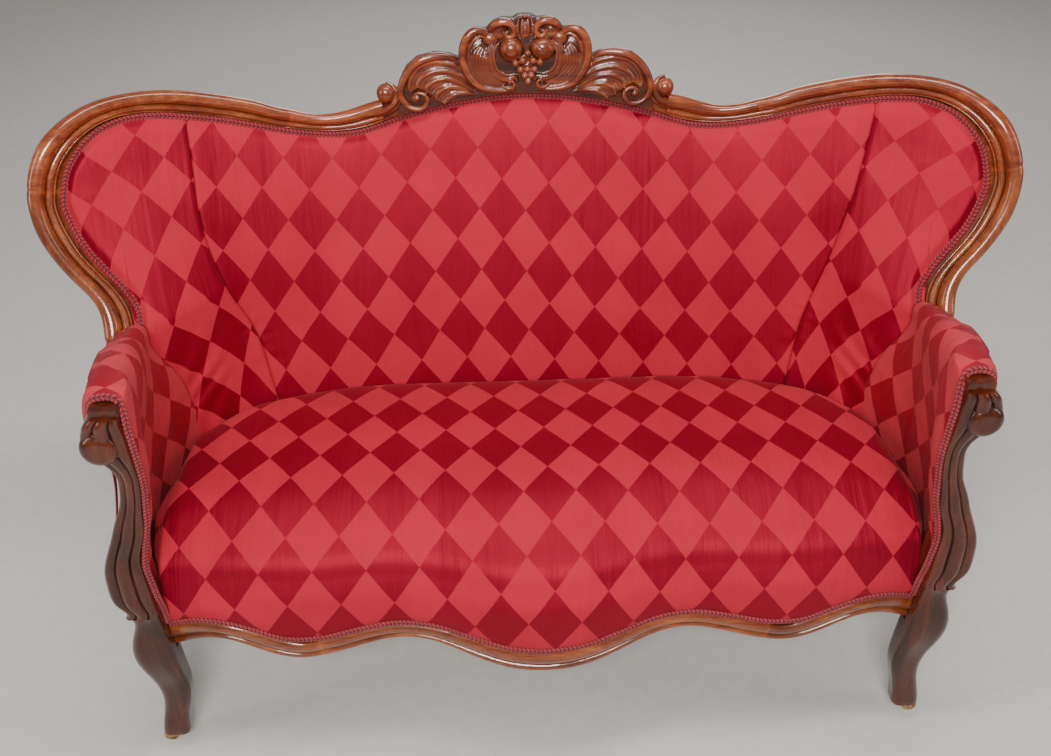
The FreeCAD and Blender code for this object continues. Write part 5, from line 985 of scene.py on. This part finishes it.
# Braid round the arm beside the post, and down its outside
OUTSIDE = [(0.22, 0.8), (-0.01, 0.66), (0.17, 0.43), (0.45, 0.265), (0.36, 0.12), (0.33, 0.05)]
for side, label in ((1, "right"), (-1, "left")):
    flip = np.array([side, 1, 1])
    section = spline(ARM_EDGE[:-1], 300)
    along = tangent(section)
    out = np.stack([-0.75 * along[:, 2], np.full(300, -0.85), 0.75 * along[:, 0]], -1)
    line = section + out * 0.0008 + np.array([0, 0.0035, 0])
    braid("braid_arm_" + label, line * flip, out * flip, ["gimp_arm_" + label], 0.011, 0.0034)
    line = spline([(LEG + a * ARM_WIDE + 0.004, ARM_START + 0.0065, ARM_FLOOR + b * ARM_RISE)
                   for a, b in OUTSIDE], 160)
    along = tangent(line)
    out = np.stack([-along[:, 2], np.zeros(160), along[:, 0]], -1)
    braid("braid_outside_arm_" + label, line * flip, out * flip,
          ["gimp_outside_arm_" + label], 0.0105, 0.0026)


# Carved crest: ridges, lobes, fruits and scrolls raised on a plate, then fused and smoothed
TENTH = 10000  # the crest's tables are in tenths of a millimetre
carved_verts, carved_faces = [], []


def crest_point(x, z, out):
    """A point forward of the leaning face."""
    return (x, leaning(z) - out * math.cos(LEAN), z + out * math.sin(LEAN))


def carve(verts, faces):
    start = len(carved_verts)
    carved_verts.extend(verts)
    carved_faces.extend(tuple(i + start for i in f) for f in faces)


def ridge(points, radii, out, count, flat=1, side=1, wobble=0):
    """Rounded ridge along a line of x and z; radii and out are tables along it."""
    line = spline(np.array(points) / TENTH * (side, 1) + (0, wobble), count)
    t = np.linspace(0, 1, count)
    radius = np.interp(t, np.linspace(0, 1, len(radii)), radii) / TENTH
    lift = np.interp(t, np.linspace(0, 1, len(out)), out) / TENTH
    segments = 12
    verts = []
    for (x, z), (dx, dz), r, raised in zip(line, tangent(line), radius, lift):
        for a in np.linspace(0, 2 * math.pi, segments, endpoint=False):
            away, up = math.cos(a) * r, math.sin(a) * r * flat
            verts.append(crest_point(x - dz * away, z + dx * away, raised + up))
    carve(verts, tube_faces(count, segments))


def ball(x, z, wide, tall, out, deep, turn=0, side=1):
    x, z, wide, tall, out, deep = np.array([x * side, z, wide, tall, out, deep]) / TENTH
    rings, segments = 14, 20
    c, s = math.cos(turn * side), math.sin(turn * side)
    verts = []
    for a in np.arange(1, rings) * math.pi / rings:
        for b in np.arange(segments) * 2 * math.pi / segments:
            px, pz = wide * math.sin(a) * math.cos(b), tall * math.sin(a) * math.sin(b)
            verts.append(crest_point(x + px * c - pz * s, z + px * s + pz * c,
                                     out + deep * math.cos(a)))
    verts += [crest_point(x, z, out + deep), crest_point(x, z, out - deep)]
    faces = grid_faces(rings - 1, segments, closed=True)
    top, bottom = len(verts) - 2, len(verts) - 1
    last = (rings - 2) * segments
    for k in range(segments):
        n = (k + 1) % segments
        faces += [(top, n, k), (bottom, last + k, last + n)]
    carve(verts, faces)


def plate(outline, low, high):
    n = len(outline)
    faces = [tuple(range(n)), tuple(range(2 * n - 1, n - 1, -1))]
    faces += [(i, i + n, (i + 1) % n + n, (i + 1) % n) for i in range(n)]
    carve([crest_point(x, z, out) for out in (low, high) for x, z in outline], faces)


RIM = [(2225, 8680), (2225, 9050), (2190, 9300), (2060, 9530), (1860, 9685), (1560, 9750),
       (1300, 9725), (1115, 9650), (1115, 9850), (1030, 10020), (860, 10135), (660, 10125),
       (540, 10240), (380, 10300), (200, 10290), (120, 10340), (0, 10350)]
RIM = [(x / TENTH, z / TENTH) for x, z in RIM]
base = [(x, z + 0.0006) for x, z in CREST_LINE if x < 0.222]
plate(RIM + [(-x, z) for x, z in RIM[-2::-1]] + [(-x, z) for x, z in base[::-1]] + base[1:],
      -0.0203, 0.0035)
# flutes that fan out of the tail below the cartouche
FLUTES = [
    [(738, 9075), (960, 9270), (1108, 9470), (1218, 9560), (1403, 9610), (1590, 9625),
     (1800, 9560), (1940, 9420), (2010, 9250), (1990, 9120)],
    [(820, 9110), (1034, 9330), (1255, 9435), (1495, 9475), (1700, 9420), (1830, 9310),
     (1870, 9200)],
    [(880, 9110), (1126, 9260), (1366, 9340), (1590, 9300), (1700, 9200), (1700, 9110)],
    [(900, 9080), (1180, 9180), (1366, 9190), (1510, 9110), (1560, 8995)],
    [(850, 9050), (1034, 9085), (1220, 9080), (1340, 9010), (1420, 8925)]]
# Ridges of one side: line, radii, how far out, and the number of points
LEAF = [
    # rail end: C-shaped band that holds a ball
    ([(3000, 8700), (2700, 8770), (2470, 8830), (2300, 8930), (2235, 9090), (2290, 9240),
      (2415, 9300)],
     [30, 45, 50, 52, 50, 42, 28], [0, 30, 60, 90, 100, 100, 80], 60),
    ([(2620, 8720), (2400, 8790), (2235, 8890), (2160, 9020)],
     [30, 32, 30, 20], [20, 40, 60, 70], 34),
    # flanking leaf: broad outer rim that rolls down into a snail
    ([(1126, 9590), (1290, 9690), (1510, 9715), (1770, 9665), (1985, 9510), (2120, 9310),
      (2165, 9130), (2120, 8980), (1985, 8870), (1820, 8855), (1710, 8955), (1740, 9075),
      (1870, 9110), (1950, 9030), (1890, 8965)],
     [36, 56, 68, 74, 74, 70, 66, 62, 58, 52, 47, 43, 38, 34, 28],
     [40, 70, 90, 110, 120, 120, 130, 130, 120, 120, 130, 130, 130, 120, 110], 120),
    *[(flute, [12, 28, 38, 42, 42, 36], [30, 60, 85, 105, 105, 85], 56) for flute in FLUTES]]
for low, high in zip(FLUTES[1:], FLUTES[:-1]):
    a, b = spline(low, 12), spline(high, 12)
    for share in (0.32, 0.66):
        LEAF.append(((a + (b - a) * share)[1:], [10, 24, 30, 30, 30, 27],
                     [30, 60, 80, 95, 90, 75], 50))
# cartouche: outer lobe, parallel flutes and the smooth inner rim
CARTOUCHE = [
    ([(640, 10060), (740, 10110), (870, 10110), (985, 10020), (1060, 9850), (1070, 9640),
      (1010, 9440), (890, 9270), (720, 9160), (480, 9115), (203, 9115)],
     [50, 64, 72, 74, 70, 66, 60, 53, 46, 38, 28],
     [80, 110, 120, 120, 110, 100, 90, 80, 70, 60, 50], 90),
    ([(690, 10010), (790, 10020), (900, 9930), (965, 9780), (965, 9620), (915, 9450),
      (800, 9300), (627, 9205), (400, 9160)],
     [20, 30, 33, 33, 32, 30, 27, 22, 14], [80, 100, 100, 90, 80, 70, 60, 60, 50], 80)]
for shift, thin in ((0, 31), (56, 30), (112, 30), (168, 28), (220, 26)):
    CARTOUCHE.append((
        [(760 - shift * 0.4, 9880 - shift * 0.5), (870 - shift, 9750 - shift * 0.3),
         (895 - shift, 9600), (855 - shift, 9460 + shift * 0.15),
         (750 - shift, 9330 + shift * 0.3), (600 - shift * 0.9, 9240 + shift * 0.35),
         (400 - shift * 0.5, 9185 + shift * 0.3)],
        [thin * 0.4, thin, thin, thin, thin, thin * 0.8, thin * 0.3],
        [70, 80, 75, 70, 65, 60, 50], 60))
CARTOUCHE += [
    ([(500, 9960), (575, 9840), (600, 9680), (575, 9500), (480, 9370), (330, 9310), (190, 9330),
      (150, 9260)],
     [50, 64, 72, 76, 76, 66, 48, 30], [50, 60, 65, 65, 65, 60, 60, 50], 70, 0.62),
    ([(440, 9925), (515, 9820), (535, 9680), (510, 9525), (420, 9410), (290, 9365)],
     [14, 18, 19, 19, 18, 12], [90, 105, 110, 110, 105, 90], 60),
    # curled lobe at the top
    ([(600, 10110), (510, 10210), (380, 10255), (260, 10225), (190, 10140), (200, 10040),
      (285, 10005), (330, 10060), (285, 10105)],
     [45, 66, 74, 70, 60, 50, 42, 36, 30],
     [80, 110, 130, 140, 140, 135, 130, 130, 130], 80),
    # keystone flutes
    ([(35, 10310), (50, 10200), (55, 10080), (40, 9980)],
     [24, 28, 26, 14], [100, 130, 130, 90], 30),
    ([(100, 10290), (125, 10190), (125, 10080), (90, 9985)],
     [22, 26, 24, 12], [80, 110, 120, 90], 30),
    # small curl at the foot
    ([(400, 9190), (310, 9150), (220, 9170), (200, 9240), (255, 9275), (290, 9235)],
     [16, 26, 28, 26, 24, 20], [60, 80, 90, 100, 100, 90], 44)]
# Lobes of one side: x, z, half width, half height, how far out, depth and turn
LOBES = [
    # ball of the rail end and eye of the snail
    (2425, 9105, 160, 165, 40, 150), (1885, 9025, 55, 55, 110, 65),
    # swelling ground below the leaf and under the cartouche's sides
    (1520, 9280, 640, 380, -10, 85, 0.12), (820, 9640, 260, 400, -10, 80),
    # smooth hollow below the curled lobe
    (460, 10100, 185, 150, 20, 95, 0.5), (600, 9960, 140, 130, 20, 85)]
for side in (1, -1):
    for lobe in LOBES:
        ball(*lobe, side=side)
    for row in LEAF + CARTOUCHE:
        ridge(*row, side=side, wobble=0.0008 * side)
ridge([(-75, 10300), (0, 10325), (75, 10300)], [22, 30, 22], [120, 140, 120], 20)
ridge([(0, 10250), (0, 10100), (0, 9985)], [12, 20, 16], [130, 140, 100], 24)
# two round fruits, one with a seam, above a bunch of grapes
ball(-240, 9790, 208, 212, 35, 190, 0.2)
ball(300, 9800, 218, 195, 35, 180, -0.25)
for x, z in [(40, 9726), (-50, 9607), (130, 9604), (247, 9578), (-170, 9564), (-90, 9464),
             (30, 9469), (150, 9466), (-16, 9363), (95, 9368), (40, 9270)]:
    ball(x, z, 60, 60, 125, 62)
ball(30, 9500, 150, 180, 20, 100)
crest = make("crest_carving_detail", carved_verts, carved_faces)
fuse = crest.modifiers.new("fuse", "REMESH")
fuse.mode = "VOXEL"
fuse.voxel_size = 0.00105
ease = crest.modifiers.new("ease", "SMOOTH")
ease.factor = 0.5
ease.iterations = 3
bpy.context.view_layer.update()
solid = bpy.data.meshes.new_from_object(
    crest.evaluated_get(bpy.context.evaluated_depsgraph_get()))
crest.modifiers.clear()
old = crest.data
crest.data = solid
bpy.data.meshes.remove(old)

# Seam cut into the right-hand fruit, and tool marks left on the ground
co = np.zeros(len(solid.vertices) * 3)
solid.vertices.foreach_get("co", co)
co = co.reshape(-1, 3)
start = np.array([0.015, 0.9945])
way = np.array([0.05, 0.9745]) - start
px, pz = co[:, 0] - start[0], co[:, 2] - start[1]
share = np.clip((px * way[0] + pz * way[1]) / way.dot(way), 0, 1)
bulge = 0.003 * np.sin(np.pi * share)
near = np.hypot(px - share * way[0], pz + bulge - share * way[1])
lift = (leaning(co[:, 2]) - SHIFT - co[:, 1]) * math.cos(LEAN)
push = np.where(lift > 0.01, 0.0022 * np.exp(-(near / 0.0011) ** 2), 0)
rough = np.sin(co[:, 0] * 1450) * np.sin(co[:, 2] * 1610 + co[:, 0] * 400)
ground = np.clip((0.0052 - lift) / 0.002, 0, 1) * np.clip(lift / 0.002, 0, 1)
push = push + 0.00035 * rough * ground
co[:, 1] += push * math.cos(LEAN)
co[:, 2] -= push * math.sin(LEAN)
solid.vertices.foreach_set("co", co.ravel())
solid.update()
solid.shade_smooth()

look = Look("wood_carved_crest")
figure = look.noise(look.place((2.5, 20, 20)), 2.2, 5, 0.6, 1)
colour = look.ramp(figure, (0.32, (0.085, 0.014, 0.006)), (0.5, (0.185, 0.038, 0.013)),
                   (0.68, (0.3, 0.075, 0.024)))
# painted shade: the cut-back ground behind the carving is darker than its raised parts, and the
# highest parts are a little lighter
_, y, z = look.apart(look.place())
rise = (z * RAKE - y + (leaning(0) - SHIFT)) * 50
colour = look.shaded(colour, rise, (0.04, (0.26, 0.2, 0.18)), (0.42, (0.88, 0.86, 0.85)),
                     (0.8, (1.15, 1.12, 1.1)))
# painted shade darkens the carving's crevices where pointiness is low; its sharp ridges are
# lighter, partly rubbed wear and partly painted highlight
colour = look.shaded(colour, look.node("NewGeometry", "Pointiness"),
                     (0.41, (0.1, 0.07, 0.06)), (0.495, (0.8, 0.76, 0.74)),
                     (0.56, (1.3, 1.25, 1.2)))
chisel = look.noise(look.place(), 160, 2, 0.5)
dress(crest, look.done(Base_Color=colour, Roughness=0.28, Specular_IOR_Level=0.3,
                       Coat_Weight=0.7, Coat_Roughness=0.1,
                       Normal=look.bump(chisel, 0.18, 0.0006)))
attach(crest, "frame")
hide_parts("crest_carving")

# Floor, light and camera
ground_mesh = bpy.data.meshes.new("floor")
ground_mesh.from_pydata([(-9, -9, 0), (9, -9, 0), (9, 9, 0), (-9, 9, 0)], [], [(0, 1, 2, 3)])
floor = link("floor", ground_mesh)
look = Look("pale_floor")
spots = look.noise(look.place(), 40, 4, 0.6)
colour = look.ramp(spots, (0.3, (0.56, 0.53, 0.5)), (0.7, (0.61, 0.58, 0.55)))
dress(floor, look.done(Base_Color=colour, Roughness=0.9))
floor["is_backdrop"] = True

world = bpy.data.worlds.new("studio")
bpy.context.scene.world = world
world.use_nodes = True
world.node_tree.nodes["Background"].inputs["Color"].default_value = (0.96, 0.95, 0.93, 1)
world.node_tree.nodes["Background"].inputs["Strength"].default_value = 0.25


def light(name, place, aim, wide, tall, power, colour=(1, 1, 1)):
    lamp = bpy.data.lights.new(name, "AREA")
    lamp.shape = "RECTANGLE"
    lamp.size, lamp.size_y = wide, tall
    lamp.energy = power
    lamp.color = colour
    piece = link(name, lamp)
    piece.location = place
    piece.rotation_mode = "QUATERNION"
    piece.rotation_quaternion = (Vector(aim) - Vector(place)).to_track_quat("-Z", "Y")


light("key", (-0.25, -2.6, 2.6), (0, 0.1, 0.6), 1.25, 0.7, 108, (1, 0.985, 0.96))
light("overhead", (0.1, -0.3, 2.8), (0, 0, 0.5), 1.9, 0.4, 32, (1, 0.99, 0.97))
light("left_fill", (-2.7, -0.9, 1.7), (0, 0, 0.6), 0.6, 1.8, 17)
light("right_fill", (2.7, -0.7, 1.8), (0, 0, 0.6), 0.6, 1.8, 14)
light("rear_fill", (0.4, 3, 2.2), (0, 0, 0.6), 1.8, 1.2, 34)

pitch, yaw, roll = math.radians(37.61), math.radians(2.42), math.radians(-0.29)
ahead = Vector((math.sin(yaw) * math.cos(pitch), math.cos(yaw) * math.cos(pitch),
                -math.sin(pitch)))
right = Vector((math.cos(yaw), -math.sin(yaw), 0))
up = right.cross(ahead)
right, up = (math.cos(roll) * right + math.sin(roll) * up,
             -math.sin(roll) * right + math.cos(roll) * up)
lens = bpy.data.cameras.new("photo_view")
lens.sensor_width = 36
lens.lens = 36 * 1181 / 1051
lens.clip_start, lens.clip_end = 0.05, 60
camera = link("photo_view", lens)
camera.matrix_world = Matrix((
    (right.x, up.x, -ahead.x, -0.0843),
    (right.y, up.y, -ahead.y, -1.2927 - SHIFT),
    (right.z, up.z, -ahead.z, 1.7664),
    (0, 0, 0, 1)))
bpy.context.scene.camera = camera

low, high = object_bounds()
